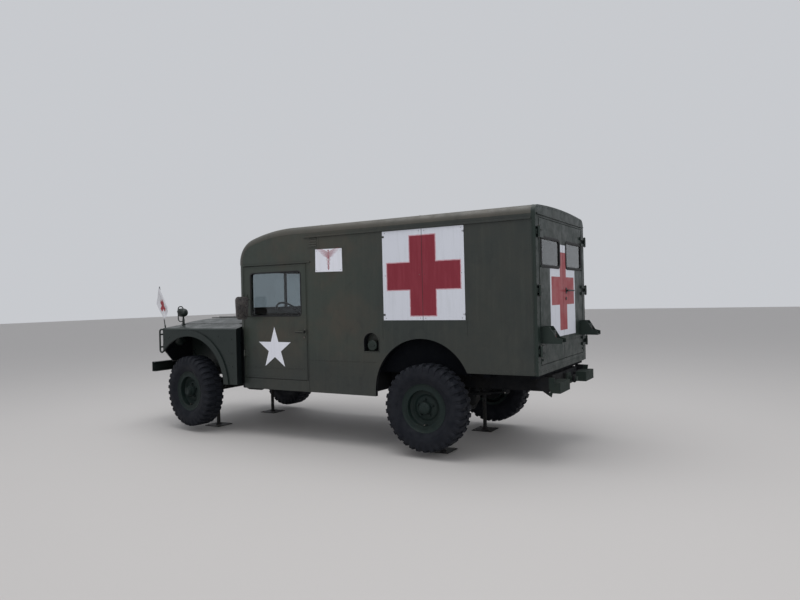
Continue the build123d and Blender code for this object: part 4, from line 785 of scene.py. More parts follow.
def pennant():
    """A small flag, its upper edge tied along the staff, fallen into two folds, with a red cross."""
    form = Form("pennant_cloth", "cloth", "red_faded")
    columns, rows = 30, 36
    corners = [Vector((FRONT_X + dx, up(h))) for dx, h in PENNANT_CORNERS]
    points = []
    for j in range(rows + 1):
        for i in range(columns + 1):
            across, down = i / columns, j / rows
            place = corners[0].lerp(corners[1], across).lerp(corners[2].lerp(corners[3], across), down)
            wave = sin(2 * pi * (1.25 * across + 0.15 * down)) * (0.003 + 0.014 * down)
            wave += 0.004 * down * sin(9.0 * down + 5.0 * across)
            curl = 0.012 * down * cos(pi * across)
            y = STAFF_FOOT.y + 0.012 + 0.4 * abs(wave) + wave * 0.6 + 0.008 * down
            points.append((place.x + curl * 0.5, y, place.y))
    front = form.add(points, [])
    back = form.add([(x, y - PENNANT_THICK, z) for x, y, z in points], [])
    width = columns + 1
    for j in range(rows):
        for i in range(columns):
            across, down = (i + 0.5) / columns, (j + 0.5) / rows
            tall = abs(across - 0.52) < 0.11 and 0.30 < down < 0.80
            wide = abs(down - 0.55) < 0.095 and 0.20 < across < 0.84
            corner = j * width + i
            quad = (corner, corner + 1, corner + width + 1, corner + width)
            for sheet, order in ((front, quad), (back, reversed(quad))):
                form.mesh.faces.new([sheet[k] for k in order]).material_index = int(tall or wide)
    edge = [*range(width), *(j * width + columns for j in range(1, rows + 1))]
    edge += [*(rows * width + i for i in range(columns - 1, -1, -1)), *(j * width for j in range(rows - 1, 0, -1))]
    for here, there in zip(edge, edge[1:] + edge[:1]):
        form.mesh.faces.new([front[there], front[here], back[here], back[there]])
    return form.done("truck", ["pennant"])


headlamp_guards()
lamps()
radiator_core()
flag = pennant()


# Body sides: boards, crosses, plaque, doors, mirrors, seams and small fittings

BOARD_X = (FRONT_X - 3.615, FRONT_X - 2.708)
BOARD_Z = (up(0.849), up(1.749))
BOARD_FACE = BODY_Y + 0.003
# Spans along x and z of the cross's upright, then of its bar
CROSS = ((-1.4755, -1.1925), (1.3795, 2.1675), (-1.7405, -0.9275), (1.6385, 1.9055))
PLAQUE_X = (FRONT_X - 2.205, FRONT_X - 1.850)
PLAQUE_Z = (up(1.369), up(1.620))
PLAQUE_TILT = 0.006
FEATHERS = 8
SKIN_BEAD = (BODY_Y - 0.001, BODY_Y + 0.0022)


def cross_outline(grow=0.0):
    """The twelve corners of the cross."""
    (x0, x1), (z0, z1), (a0, a1), (b0, b1) = ((low - grow, high + grow) for low, high in CROSS)
    half = [(x0, z0), (x1, z0), (x1, b0), (a1, b0), (a1, b1), (x1, b1)]
    return half + [(x1, z1), (x0, z1), (x0, b1), (a0, b1), (a0, b0), (x0, b0)]


def plaque(form):
    """A small board with a plain winged staff and two cords about it, in thin faded red lines."""
    x, z = PLAQUE_X, PLAQUE_Z
    plate = [(x[0], z[0]), (x[1], z[0] + PLAQUE_TILT), (x[1] - 0.004, z[1]), (x[0] + 0.002, z[1] - PLAQUE_TILT)]
    form.use("star_paint").prism(plate, "y", (BODY_Y, BOARD_FACE))
    form.use("steel")
    for (a, b), (inward_x, inward_z) in zip(plate, ((1, 1), (-1, 1), (-1, -1), (1, -1))):
        form.screw((a + 0.018 * inward_x, BOARD_FACE, b + 0.018 * inward_z), "y", 0.0035)
    staff_x = sum(x) / 2
    foot, head = z[0] + 0.022, z[1] - 0.030
    form.use("red_faded").rod((staff_x, BOARD_FACE, foot), (staff_x, BOARD_FACE, head), 0.0028, 8)
    form.lathe([(-0.001, 0.009), (0.001, 0.009), (0.0022, 0.005)], (staff_x, BOARD_FACE, head + 0.007), "y", 16)
    for phase in (0, pi):
        cord = []
        for share in spread(0, 1, 41):
            swing = 0.024 * (0.35 + 0.65 * share) * sin(phase + share * 3 * pi)
            cord.append((staff_x + swing, BOARD_FACE, foot + 0.006 + share * (head - foot - 0.075)))
        form.pipe(cord, 0.0020, 6)
    for wing in (1, -1):
        for feather in range(FEATHERS):
            share = feather / FEATHERS
            root = Vector((staff_x + wing * 0.004, BOARD_FACE, head - 0.012 - 0.075 * share))
            reach = 0.148 * (1 - 0.72 * share)
            bend = []
            for along in spread(0, 1, 11):
                rise = (0.050 - 0.020 * share) * sin(along * pi / 2) - 0.010 * along ** 2
                bend.append(root + Vector((wing * reach * along, 0, rise)))
            form.use("pink_line" if feather % 2 else "red_faded").pipe(bend, 0.0024, 6, 0.0012)


def side_board(side):
    """A white board in two sheets with its red cross, clips and seam, and the small plaque ahead of it."""
    form = Form(f"{side}_cross_board", "white_paint", "red_paint", "pink_line", "steel", "black", "drab", side=side)
    face = BOARD_FACE
    seam = sum(BOARD_X) / 2
    for x in ((BOARD_X[0], seam - 0.0012), (seam + 0.0012, BOARD_X[1])):
        form.block(x, (BODY_Y, face), BOARD_Z)
    form.use("black").block((seam - 0.0012, seam + 0.0012), (BODY_Y, face - 0.0012), BOARD_Z)
    form.use("pink_line").prism(cross_outline(0.010), "y", (face - 0.001, face + 0.0002))
    form.use("red_paint").prism(cross_outline(), "y", (face - 0.001, face + 0.0005))
    form.use("black").block((seam - 0.0022, seam + 0.0022), (face - 0.001, face + 0.0007), BOARD_Z)
    for x, clip in ((BOARD_X[0] + 0.012, (-0.016, -0.010)), (BOARD_X[1] - 0.012, (-0.010, 0.016))):
        for z in (BOARD_Z[0] + 0.055, BOARD_Z[1] - 0.055):
            form.use("drab").block((x + clip[0], x + clip[1]), (BODY_Y, face + 0.002), (z - 0.009, z + 0.009))
            form.use("steel").screw((x, face + 0.002, z), "y", 0.0045)
    for x in (BOARD_X[0] + 0.03, seam - 0.03, seam + 0.03, BOARD_X[1] - 0.03):
        for z in (BOARD_Z[0] + 0.02, sum(BOARD_Z) / 2, BOARD_Z[1] - 0.02):
            form.screw((x, face, z), "y", 0.0035)
    plaque(form)
    form.done("truck", ["side_boards"] if side == "left" else ())


for side in SIDES:
    side_board(side)

CAB_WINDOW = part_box("left_cab_glass")
WINDOW_X, _, WINDOW_Z = middle(CAB_WINDOW)
WINDOW_SIZE = (CAB_WINDOW[1].x - CAB_WINDOW[0].x, CAB_WINDOW[1].z - CAB_WINDOW[0].z)
STAR = (0.588, 1.017)
STAR_RADII = (0.247, 0.247 * 0.382)
HINGE_BARREL = 0.010
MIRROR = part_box("left_mirror")
MIRROR_Y = (0.865, 1.070)


def cab_door(side):
    """What is on a cab door: star, gaskets, hinge leaves, handle, pressed frame and inside trim."""
    form = Form(f"{side}_cab_door_fittings", "drab", "white_paint", "gasket", "steel", "black", side=side)
    low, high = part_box(f"{side}_cab_door")
    skin, inside = BODY_Y, BODY_Y - WALL
    star = [(STAR[0] + reach * c, STAR[1] + reach * s) for (c, s), reach in zip(circle(10, 2.5), STAR_RADII * 5)]
    form.use("star_paint").prism(star, "y", (skin - 0.001, skin + 0.0006))
    form.use("gasket").gasket((WINDOW_X, WINDOW_Z), WINDOW_SIZE, 0.035, "y", skin, 1, 0.010, 0.004)
    form.gasket((WINDOW_X, WINDOW_Z), WINDOW_SIZE, 0.035, "y", inside, -1, 0.010, 0.004)
    hinge_x = high.x - HINGE_BARREL
    x = (low.x + 0.010, hinge_x - 0.006)
    z = (low.z + 0.010, high.z - 0.010)
    form.use("drab")
    for bead in ((0.118, 0.124), (0.700, 0.705)):
        form.block(x, SKIN_BEAD, (low.z + bead[0], low.z + bead[1]))
    frame_loop = rounded_loop((sum(x) / 2, sum(z) / 2), x[1] - x[0], z[1] - z[0], 0.02)
    form.trim(frame_loop, [(-0.012, -0.001), (-0.012, 0.0016), (0.001, 0.0020), (0.002, -0.001)], "y", skin)
    for hinge_z in (low.z + 0.250, low.z + 0.900):
        form.use("drab").block((hinge_x - 0.060, hinge_x), (skin, skin + 0.0075), (hinge_z - 0.003, hinge_z + 0.063))
        for dx in (0.046, 0.020):
            for dz in (0.013, 0.047):
                form.bolt((hinge_x - dx, skin + 0.0075, hinge_z + dz), "y", 0.0055, 0.0045)
        pin = [(hinge_x, skin + 0.012, hinge_z + dz) for dz in (-0.006, 0.066)]
        form.use("steel").rod(*pin, 0.0045, 10)
    handle_x, handle_z = low.x + 0.030, low.z + 0.535
    form.use("drab").prism(rounded_loop((handle_x, handle_z), 0.052, 0.070, 0.018), "y", (skin, skin + 0.004))
    grip = [(handle_x - 0.001, skin + 0.034, handle_z), (handle_x + 0.112, skin + 0.033, handle_z - 0.004)]
    form.rod(*grip, 0.0095, 12, 0.0075)
    lock = [(0.004, 0.011), (0.007, 0.011), (0.008, 0.008)]
    form.use("steel").lathe(lock, (handle_x + 0.006, skin, handle_z - 0.062), "y", 20)
    for dz in (-0.026, 0.026):
        form.screw((handle_x, skin + 0.004, handle_z + dz), "y", 0.004)
    panel = rounded_loop((WINDOW_X, low.z + 0.36), 0.78, 0.46, 0.04)
    form.use("drab").prism(panel, "y", (inside, inside - 0.004))
    crank_x, crank_y, crank_z = low.x + 0.42, inside - 0.010, low.z + 0.50
    knob = (crank_x + 0.085, crank_y - 0.012, crank_z - 0.02)
    boss = [(0.006, 0.018), (-0.006, 0.018), (-0.010, 0.012)]
    form.use("black").lathe(boss, (crank_x, crank_y, crank_z), "y", 20)
    form.rod((crank_x, crank_y - 0.006, crank_z), knob, 0.0065, 10)
    form.lathe([(0, 0.009), (-0.03, 0.011), (-0.034, 0.006)], knob, "y", 14)
    lever = Vector((low.x + 0.16, inside - 0.008, low.z + 0.545))
    form.rod(lever, lever + Vector((0.09, -0.010, 0)), 0.007, 10)
    form.lathe([(0.006, 0.016), (-0.006, 0.014)], lever, "y", 16)
    pull = ((0.46, 0), (0.46, -0.035), (0.64, -0.035), (0.64, 0))
    form.use("drab").pipe(rounded_path([(low.x + dx, inside + dy, low.z + 0.62) for dx, dy in pull], 0.015), 0.006, 10)
    form.done(f"{side}_cab_door", (), 0.0008)


def mirror(side):
    """A tall mirror in a tapered, rounded housing on two arms."""
    form = Form(f"{side}_mirror_head", "mirror", "drab", "steel", side=side)
    x, _, z = middle(MIRROR)
    width, height = MIRROR_Y[1] - MIRROR_Y[0], MIRROR[1].z - MIRROR[0].z

    def outline(shrink, dx):
        ring = []
        for a, b in rounded_loop((0, 0), width - 2 * shrink, height - 2 * shrink, 0.045 - shrink * 0.5, 7):
            taper = 1 - 0.16 * max(0.0, -b / (height / 2)) ** 1.5
            bow = 0.0045 * cos(pi * b / height)
            ring.append((x + dx + (bow if dx > 0 else -bow), sum(MIRROR_Y) / 2 + a * taper, z + b))
        return ring

    housing = ((0.028, 0.0075), (0.006, 0.006), (0.0, 0.001), (0.0, -0.004), (0.004, -0.0065))
    form.rings([outline(*ring) for ring in housing])
    # The face's mottled colour is a painted reflection
    form.use("mirror_face").rings([outline(0.009, -0.0062), outline(0.010, -0.0068)])
    form.use("drab")
    arm_x = x + 0.004
    for arm_z in (MIRROR[0].z + 0.035, MIRROR[1].z - 0.035):
        arm = ((BODY_Y + 0.001, arm_z), (BODY_Y + 0.022, arm_z), (MIRROR_Y[0] + 0.030, arm_z + 0.004))
        form.pipe(rounded_path([(arm_x, y, arm_at) for y, arm_at in arm], 0.02, 4), 0.0065, 12)
        form.lathe([(0, 0.017), (0.005, 0.017), (0.007, 0.013)], (arm_x, BODY_Y, arm_z), "y", 18)
        form.bolt((arm_x, BODY_Y + 0.0005, arm_z + 0.026), "y", 0.005, 0.004)
    form.done(f"{side}_cab_door", [f"{side}_mirror"])


for side in SIDES:
    cab_door(side)
    mirror(side)

FILLER = Vector((FRONT_X - 2.549, BODY_Y - 0.022, up(0.590)))
FILLER_ARCH = 0.089
FILLER_Z = (up(0.528), up(0.629))


def filler_cap(form):
    """The fuel filler's cap in its arched recess, with a bead round the recess."""
    cap = [(0, 0.054), (0.0095, 0.054), (0.0135, 0.050), (0.0150, 0.030), (0.0155, 0.001)]
    x, y, z = FILLER
    form.use("green").lathe(cap, FILLER, "y", 40)
    form.block((x - 0.030, x + 0.030), (y + 0.012, y + 0.0205), (z - 0.006, z + 0.006))
    arc = [radians(turn) for turn in range(0, 181, 10)]
    loop = [(x + FILLER_ARCH * cos(a), FILLER_Z[1] + FILLER_ARCH * sin(a)) for a in arc]
    loop += [(x - FILLER_ARCH, FILLER_Z[0]), (x + FILLER_ARCH, FILLER_Z[0])]
    bead = [(0.001, -0.001), (0.001, 0.003), (0.004, 0.004), (0.012, 0.003), (0.013, -0.001)]
    form.use("drab").trim(loop, bead, "y", BODY_Y)


def body_side(side):
    """Seams, rivets, louvres and the filler of a body side."""
    form = Form(f"{side}_side_seams", "drab", "steel", "black", side=side)
    front_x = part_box(f"{side}_cab_door")[0].x - 0.012
    strip_z = up(0.355)
    for x, z in (
        ((-0.77, front_x), (up(0.415), up(0.420))),
        ((front_x - 0.006, front_x), (up(0.075), up(1.498))),
        ((REAR_FACE_X + 0.030, REAR_FACE_X + 0.034), (up(0.35), up(1.75))),
        ((-0.86, -0.856), (up(0.66), up(0.845))),
        ((-1.80, -1.796), (up(0.70), up(0.845))),
        ((REAR_FACE_X + 0.02, -1.90), (strip_z, strip_z + 0.018)),
        ((-0.072, -0.066), (up(1.635), up(1.756))),
        ((-0.066, front_x), (up(1.635), up(1.640))),
    ):
        form.block(x, SKIN_BEAD, z)
    for i in range(20):
        form.screw((REAR_FACE_X + 0.05, BODY_Y, up(0.40) + i * 0.070), "y", 0.0042)
    for i in range(11):
        form.screw((front_x - 0.024, BODY_Y, up(0.11) + i * 0.135), "y", 0.0036)
    for i in range(12):
        form.screw((REAR_FACE_X + 0.09 + i * 0.042, BODY_Y, strip_z + 0.009), "y", 0.0036)
    for i in range(6):
        form.screw((-0.66 + i * 0.125, BODY_Y, up(0.095)), "y", 0.0036)
    for i in range(4):
        z = up(1.655) + 0.026 * i
        form.prism([(BODY_Y, z), (BODY_Y + 0.007, z), (BODY_Y, z + 0.018)], "x", (-0.040, 0.062))
    if side == "left":
        filler_cap(form)
    form.done("truck", (), 0.0006)


for side in SIDES:
    body_side(side)


# Cab front, hood, fenders and bumper


def cab_front_fittings():
    """Windscreen gasket and post, wipers and cowl vent."""
    form = Form("windscreen_fittings", "gasket", "black", "drab", "steel")
    low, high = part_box("windscreen_glass")
    centre = (0.0, (low.z + high.z) / 2)
    size = (high.y - low.y, high.z - low.z)
    form.gasket(centre, size, 0.040, "x", CAB_FACE_X, 1, 0.014, 0.007)
    form.gasket(centre, size, 0.040, "x", CAB_FACE_X - WALL, -1, 0.012, 0.005)
    form.use("drab").block((CAB_FACE_X - 0.028, CAB_FACE_X + 0.002), (-0.014, 0.014), (low.z, high.z))
    form.use("black")
    proud = Vector((1, 0, 0))
    for _ in form.both_sides():
        pivot = Vector((CAB_FACE_X + 0.018, 0.34, high.z + 0.032))
        tip = pivot + Vector((-0.004, 0.20, -0.030))
        blade = Vector((0, 0.13, -0.014))
        form.lathe([(-0.018, 0.018), (0.004, 0.018), (0.008, 0.012)], pivot, "x", 20)
        form.pipe([pivot + proud * 0.005, pivot.lerp(tip, 0.5) + proud * 0.008, tip], 0.0045, 8)
        path = [tip - blade, tip - blade * 0.3 + proud * 0.003, tip + blade * 0.3 + proud * 0.003, tip + blade]
        form.pipe(path, 0.0045, 8)
    cowl_x = CAB_FACE_X + 0.085
    form.use("drab").block((cowl_x - 0.055, cowl_x + 0.055), (-0.19, 0.19), (COWL_Z + 0.068, COWL_Z + 0.084))
    # The vent's slots are black strips: painted shade in the openings
    form.use("black")
    for y in spread(-0.165, 0.165, 12):
        form.block((cowl_x - 0.042, cowl_x + 0.042), (y - 0.006, y + 0.006), (COWL_Z + 0.083, COWL_Z + 0.0850))
    form.done("truck", (), 0.001)


def hood_fittings():
    """Centre bead, side catches, nose handle and the crown's two ribs."""
    form = Form("hood_catches", "front", "steel", "black")
    low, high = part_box("hood")
    for _ in form.both_sides():
        for x in (low.x + 0.20, high.x - 0.22):
            form.block((x - 0.018, x + 0.018), (0.594, 0.600), (COWL_Z - 0.012, COWL_Z + 0.002))
        form.pipe([(low.x + 0.06, 0.20, high.z - 0.0048), (high.x - 0.10, 0.20, high.z - 0.0048)], 0.005, 8)
    form.pipe([(low.x + 0.03, 0, high.z - 0.0005), (high.x - 0.03, 0, high.z - 0.0005)], 0.0042, 8)
    nose = ((-0.001, -0.055), (0.024, -0.055), (0.024, 0.055), (-0.001, 0.055))
    form.pipe(rounded_path([(high.x + dx, y, COWL_Z + 0.012) for dx, y in nose], 0.012), 0.0055, 10)
    form.done("hood", (), 0.0008)


def fender_fittings():
    """Bolts and edge beads of the fenders."""
    form = Form("fender_fittings", "front")
    side_y, rim_y = 0.940, 0.620
    for _ in form.both_sides():
        form.block((CAB_FACE_X - 0.02, NOSE_X - 0.02), (side_y - 0.001, side_y + 0.002), (up(0.741), up(0.746)))
        for i in range(4):
            form.bolt((CAB_FACE_X + 0.02, side_y, up(0.16) + 0.16 * i), "y", 0.006, 0.0045)
        for i in range(8):
            form.bolt((CAB_FACE_X + 0.30 + 0.125 * i, rim_y, up(0.7995)), "z", 0.005, 0.004)
    form.done("truck", (), 0.0008)


def bumper_fittings():
    """The front bumper's rivets and the front panel's bolts."""
    form = Form("bumper_fittings", "front", "steel", "dark_metal")
    for _ in form.both_sides():
        for y in (0.36, 0.42):
            for z in (up(0.232), up(0.292)):
                form.screw((FRONT_X + 0.836, y, z), "x", 0.009)
        for y, z in ((0.455, 0.41), (0.455, 0.50), (0.455, 0.60), (0.455, 0.70), (0.83, 0.62), (0.905, 0.62)):
            form.bolt((PANEL_X, y, up(z)), "x", 0.005, 0.004)
    form.done("truck", (), 0.0006)


cab_front_fittings()
hood_fittings()
fender_fittings()
bumper_fittings()


# Rear: white field and cross on each door, gaskets, handle, hinges and tail lamps

REAR_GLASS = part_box("left_rear_glass")
HANDLE_Z = 1.593
HINGE_Z = (up(0.560), up(1.111), up(1.640))
LAMP_BRACKET = (0.600, 0.730)
DOORS_GAP = 0.003
WINDOW_EDGE = (REAR_GLASS[0].y - 0.014, REAR_GLASS[0].z - 0.014)
# Outlines on the left door, as (y, z)
REAR_FIELD = [
    (DOORS_GAP, 1.1435), (0.430, 1.1435), (0.430, 1.8135), (WINDOW_EDGE[0], 1.8135), (WINDOW_EDGE[0], 2.0485),
    (DOORS_GAP, 2.0485),
]
REAR_CROSS = [
    (DOORS_GAP, 1.2005), (0.126, 1.2005), (0.126, 1.4535), (0.388, 1.4535), (0.388, 1.7285), (0.105, 1.7285),
    (0.105, WINDOW_EDGE[1]), (0.093, 1.9735), (DOORS_GAP, 1.9735),
]
ROOF_TOP = up(1.913)
ROOF_CROWN = 0.030
CROWN_RADIUS = (BODY_Y ** 2 + ROOF_CROWN ** 2) / (2 * ROOF_CROWN)


def rear_window(form, side, face):
    """The pane in its clouded glass, and the gaskets on both faces of the door."""
    _, y, z = middle(REAR_GLASS)
    size = (REAR_GLASS[1].y - REAR_GLASS[0].y, REAR_GLASS[1].z - REAR_GLASS[0].z)
    pane = Form(f"{side}_rear_pane", "glass", side=side)
    pane.prism(rounded_loop((y, z), 0.569, 0.253, 0.035), "x", (face + 0.004, face + 0.010))
    pane.done(f"{side}_rear_door", [f"{side}_rear_glass"])
    form.use("gasket").gasket((y, z), size, 0.035, "x", face, -1, 0.020, 0.008)
    form.gasket((y, z), size, 0.035, "x", face + WALL, 1, 0.014, 0.006)


def rear_hinge(form, face, z):
    """Bolts and pin of one hinge."""
    form.use("green")
    for dz in (-0.035, 0.035):
        for y in (0.672, 0.716):
            form.bolt((face - 0.0118, y, z + dz), "x", 0.0058, 0.0045, -1)
        for y in (0.786, 0.812):
            form.bolt((face - 0.009, y, z + dz * 0.3), "x", 0.004, 0.0035, -1)
    form.use("steel").rod((face - 0.021, 0.800, z - 0.056), (face - 0.021, 0.800, z + 0.056), 0.005, 10)


def tail_lamp(form, face):
    """The round lamp on its bracket, with a red and a clear marker."""
    y, z = sum(LAMP_BRACKET) / 2, up(0.700)
    housing = [(-0.108, 0.0495), (-0.112, 0.0495), (-0.114, 0.046), (-0.114, 0.038), (-0.109, 0.037)]
    form.use("green").lathe(housing, (face, y, z), "x", 36, True)
    form.use("black").lathe([(-0.109, 0.0385), (-0.1105, 0.02), (-0.111, 0.001)], (face, y, z), "x", 36)
    marker = rounded_loop((y, z - 0.012), 0.052, 0.020, 0.009)
    form.use("lens_red").prism(marker, "x", (face - 0.109, face - 0.1135))
    marker = rounded_loop((y, z + 0.016), 0.018, 0.012, 0.005)
    form.use("steel").prism(marker, "x", (face - 0.109, face - 0.1125))
    form.use("green")
    for bracket_z in (up(0.655), up(0.760)):
        for bracket_y in (LAMP_BRACKET[0] - 0.014, LAMP_BRACKET[1] + 0.014):
            form.bolt((face, bracket_y, bracket_z), "x", 0.0055, 0.0045, -1)


def rear_door(side):
    """What is on a rear door."""
    finishes = ("green", "white_paint", "red_faded", "gasket", "steel", "black", "lens_red")
    form = Form(f"{side}_rear_door_fittings", *finishes, side=side)
    face = REAR_FACE_X
    low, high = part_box(f"{side}_rear_door")
    form.use("white_paint").prism(REAR_FIELD, "x", (face + 0.0008, face - 0.0005))
    form.use("red_faded").prism(REAR_CROSS, "x", (face + 0.0008, face - 0.0009))
    rear_window(form, side, face)
    form.use("green").block((face - 0.003, face + 0.001), (0.010, 0.735), (up(0.600), up(0.604)))
    form.block((face - 0.003, face + 0.001), (0.735, 0.740), (low.z + 0.01, high.z - 0.01))
    for z in HINGE_Z:
        rear_hinge(form, face, z)
    form.use("green")
    for z in (up(0.475), up(1.330)):
        form.lathe([(0.001, 0.010), (-0.008, 0.010), (-0.010, 0.006)], (face, 0.700, z), "x", 16)
    tail_lamp(form, face)
    if side == "right":
        foot_y, grip_x = 0.105, face - 0.036
        form.use("black").prism(rounded_loop((foot_y, HANDLE_Z), 0.046, 0.060, 0.016), "x", (face, face - 0.004))
        form.rod((face - 0.002, foot_y, HANDLE_Z), (grip_x, foot_y, HANDLE_Z), 0.010, 16)
        form.rod((grip_x, 0.030, HANDLE_Z + 0.001), (grip_x, 0.265, HANDLE_Z - 0.001), 0.0075, 12)
        lock = [(0.001, 0.017), (-0.006, 0.017), (-0.008, 0.012)]
        form.lathe(lock, (face, foot_y - 0.015, HANDLE_Z - 0.080), "x", 20)
    form.done(f"{side}_rear_door", (), 0.0008)


def roof_height(y):
    """Height of the roof's skin above a place across it, away from its shoulders."""
    return ROOF_TOP - CROWN_RADIUS + sqrt(CROWN_RADIUS ** 2 - y ** 2)


def rear_fittings():
    """Rivets round the rear wall's edge and the lower panel's seam."""
    form = Form("rear_wall_fittings", "green", "steel", "black")
    for _ in form.both_sides():
        for z in (up(0.40) + 0.064 * i for i in range(22)):
            if all(abs(z - hinge) >= 0.05 for hinge in HINGE_Z):
                form.screw((REAR_FACE_X, 0.816, z), "x", 0.004, -1)
    for y in spread(-0.76, 0.76, 21):
        for z in (up(0.372), roof_height(y) - 0.022):
            form.screw((REAR_FACE_X, y, z), "x", 0.004, -1)
    form.block((REAR_FACE_X - 0.003, REAR_FACE_X + 0.001), (-0.80, 0.80), (up(0.388), up(0.392)))
    form.done("truck", (), 0.0006)


def roof_fittings():
    """Cross beads of the roof's sheets with their rivets, and a low vent."""
    form = Form("roof_beads", "roof", "steel")
    for x in (-0.05, -1.28, -2.44):
        bead = [(x, y, min(roof_height(y) - 0.0015, ROOF_TOP - 0.0052)) for y in spread(-0.755, 0.755, 25)]
        form.pipe(bead, 0.0045, 8)
        for y in spread(-0.74, 0.74, 20):
            form.screw((x + 0.016, y, min(roof_height(y), ROOF_TOP - 0.0034)), "z", 0.004)
    vent = [(0.0, 0.135), (0.004, 0.135), (0.004, 0.100), (0.0, 0.100)]
    form.lathe(vent, (-0.75, 0.0, ROOF_TOP - 0.0045), "z", 48, True)
    form.done("truck")


for side in SIDES:
    rear_door(side)
rear_fittings()
roof_fittings()


# Inside: steering wheel, dashboard, pedals, levers and cushions

STEER_CENTRE = Vector((FRONT_X - 1.150, 0.420, up(0.892)))
COLUMN_TILT = radians(40)
STEER_RADIUS = 0.205
DASH_X = CAB_FACE_X - WALL - 0.118
GAUGE_Z = up(0.730) + 0.088


def steering_wheel():
    form = Form("steering_wheel_rim", "black", "steel")
    down = Vector((cos(COLUMN_TILT), 0, -sin(COLUMN_TILT)))
    across = Vector((0, 1, 0))
    form.frame = Matrix.Translation(STEER_CENTRE) @ Matrix((across, across.cross(down), -down)).transposed().to_4x4()
    form.pipe([(STEER_RADIUS * c, STEER_RADIUS * s, 0) for c, s in circle(72)], 0.0112, 14, closed=True)
    hub = [(-0.019, 0.026), (-0.012, 0.033), (0.014, 0.033), (0.022, 0.026), (0.0235, 0.0001)]
    form.lathe(hub, axis="z", sides=32)
    for c, s in circle(3, 0.75):
        aim, aside = Vector((c, s, 0)), Vector((-s, c, 0))
        for offset in (-0.010, 0.010):
            spoke = ((0.022, 0.8), (0.11, 1.0), (STEER_RADIUS - 0.002, 1.5))
            form.pipe([aim * reach + aside * offset * wide for reach, wide in spoke], 0.0052, 10)
    form.use("steel").lathe([(0.0225, 0.014), (0.0240, 0.014), (0.0245, 0.009)], axis="z", sides=24)
    form.done("steering_wheel", ["steering_wheel"])


def dashboard():
    """Gauges, knobs, a glove box lid, pedals and levers."""
    form = Form("dashboard_fittings", "drab", "black", "dial", "steel")
    x, z = DASH_X, GAUGE_Z
    for y, radius in ((0.42, 0.052), (0.30, 0.028), (0.54, 0.028), (0.235, 0.028), (0.605, 0.028)):
        bezel = [(0.004, radius), (-0.008, radius), (-0.010, radius * 0.9)]
        form.use("black").lathe(bezel, (x, y, z), "x", 32)
        face = [(-0.009, radius * 0.86), (-0.0104, radius * 0.86), (-0.0105, 0.0005)]
        form.use("dial").lathe(face, (x, y, z), "x", 32)
        form.use("black").rod((x - 0.0112, y, z), (x - 0.0112, y + radius * 0.5, z + radius * 0.4), 0.0009, 6)
    knob = [(0.002, 0.006), (-0.014, 0.006), (-0.016, 0.012), (-0.024, 0.012), (-0.026, 0.009)]
    for y in (0.06, 0.0, -0.06, 0.70):
        form.lathe(knob, (x, y, z - 0.02), "x", 16)
    form.use("drab").block((x - 0.006, x + 0.006), (-0.62, -0.24), (z - 0.055, z + 0.055))
    form.use("steel").lathe([(-0.006, 0.010), (-0.011, 0.010)], (x, -0.43, z + 0.035), "x", 16)
    form.use("black")
    for y, height in ((0.30, 0.11), (0.42, 0.11), (0.54, 0.07)):
        pedal = ((-0.045, 0.20), (-0.095, height + 0.03), (-0.16, height))
        form.pipe([(CAB_FACE_X + dx, y, FLOOR_TOP + dz) for dx, dz in pedal], 0.007, 8)
        pad = rounded_loop((y, FLOOR_TOP + height), 0.065, 0.070, 0.012)
        form.prism(pad, "x", (CAB_FACE_X - 0.172, CAB_FACE_X - 0.16))
    for x, y, tip_x, tip_y, height in (
        (0.80, 0.02, 0.74, 0.04, 0.40), (0.70, -0.07, 0.66, -0.08, 0.28), (0.70, 0.12, 0.67, 0.12, 0.24)
    ):
        lever = [(x, y, FLOOR_TOP), (x - 0.01, y, FLOOR_TOP + height * 0.5), (tip_x, tip_y, FLOOR_TOP + height)]
        form.use("steel").pipe(lever, 0.007, 10)
        knob = [(-0.014, 0.009), (-0.004, 0.018), (0.010, 0.018), (0.020, 0.006)]
        form.use("black").lathe(knob, (tip_x, tip_y, FLOOR_TOP + height + 0.01), "z", 20)
        form.lathe([(0, 0.050), (0.012, 0.045), (0.040, 0.016)], (x, y, FLOOR_TOP), "z", 24)
    form.done("truck", (), 0.0008)


steering_wheel()
dashboard()

CUSHION_VOXEL = 0.011
CUSHION_START = 0.012
CUSHION_CAP = 0.016
CUSHION_FRAMES = 20
CUSHION_CLEAR = 0.0006


def inflate(piece):
    """Swells a cushion with cloth under pressure, held to a small travel, and fixes the result."""
    start = [v.co.copy() for v in piece.data.vertices]
    cloth = piece.modifiers.new("swell", "CLOTH")
    cloth.settings.use_pressure = True
    cloth.settings.uniform_pressure_force = 4.0
    cloth.settings.quality = 4
    cloth.settings.mass = 0.3
    cloth.settings.effector_weights.gravity = 0.0
    cloth.point_cache.frame_start = 1
    cloth.point_cache.frame_end = CUSHION_FRAMES
    for step in range(1, CUSHION_FRAMES + 1):
        bpy.context.scene.frame_set(step)
    shape = piece.evaluated_get(bpy.context.evaluated_depsgraph_get()).to_mesh()
    moved = [v.co.copy() for v in shape.vertices]
    piece.modifiers.remove(cloth)
    bpy.context.scene.frame_set(1)
    for vertex, before, after in zip(piece.data.vertices, start, moved):
        travel = after - before
        if travel.length > CUSHION_CAP:
            travel = travel.normalized() * CUSHION_CAP
        vertex.co = before + travel


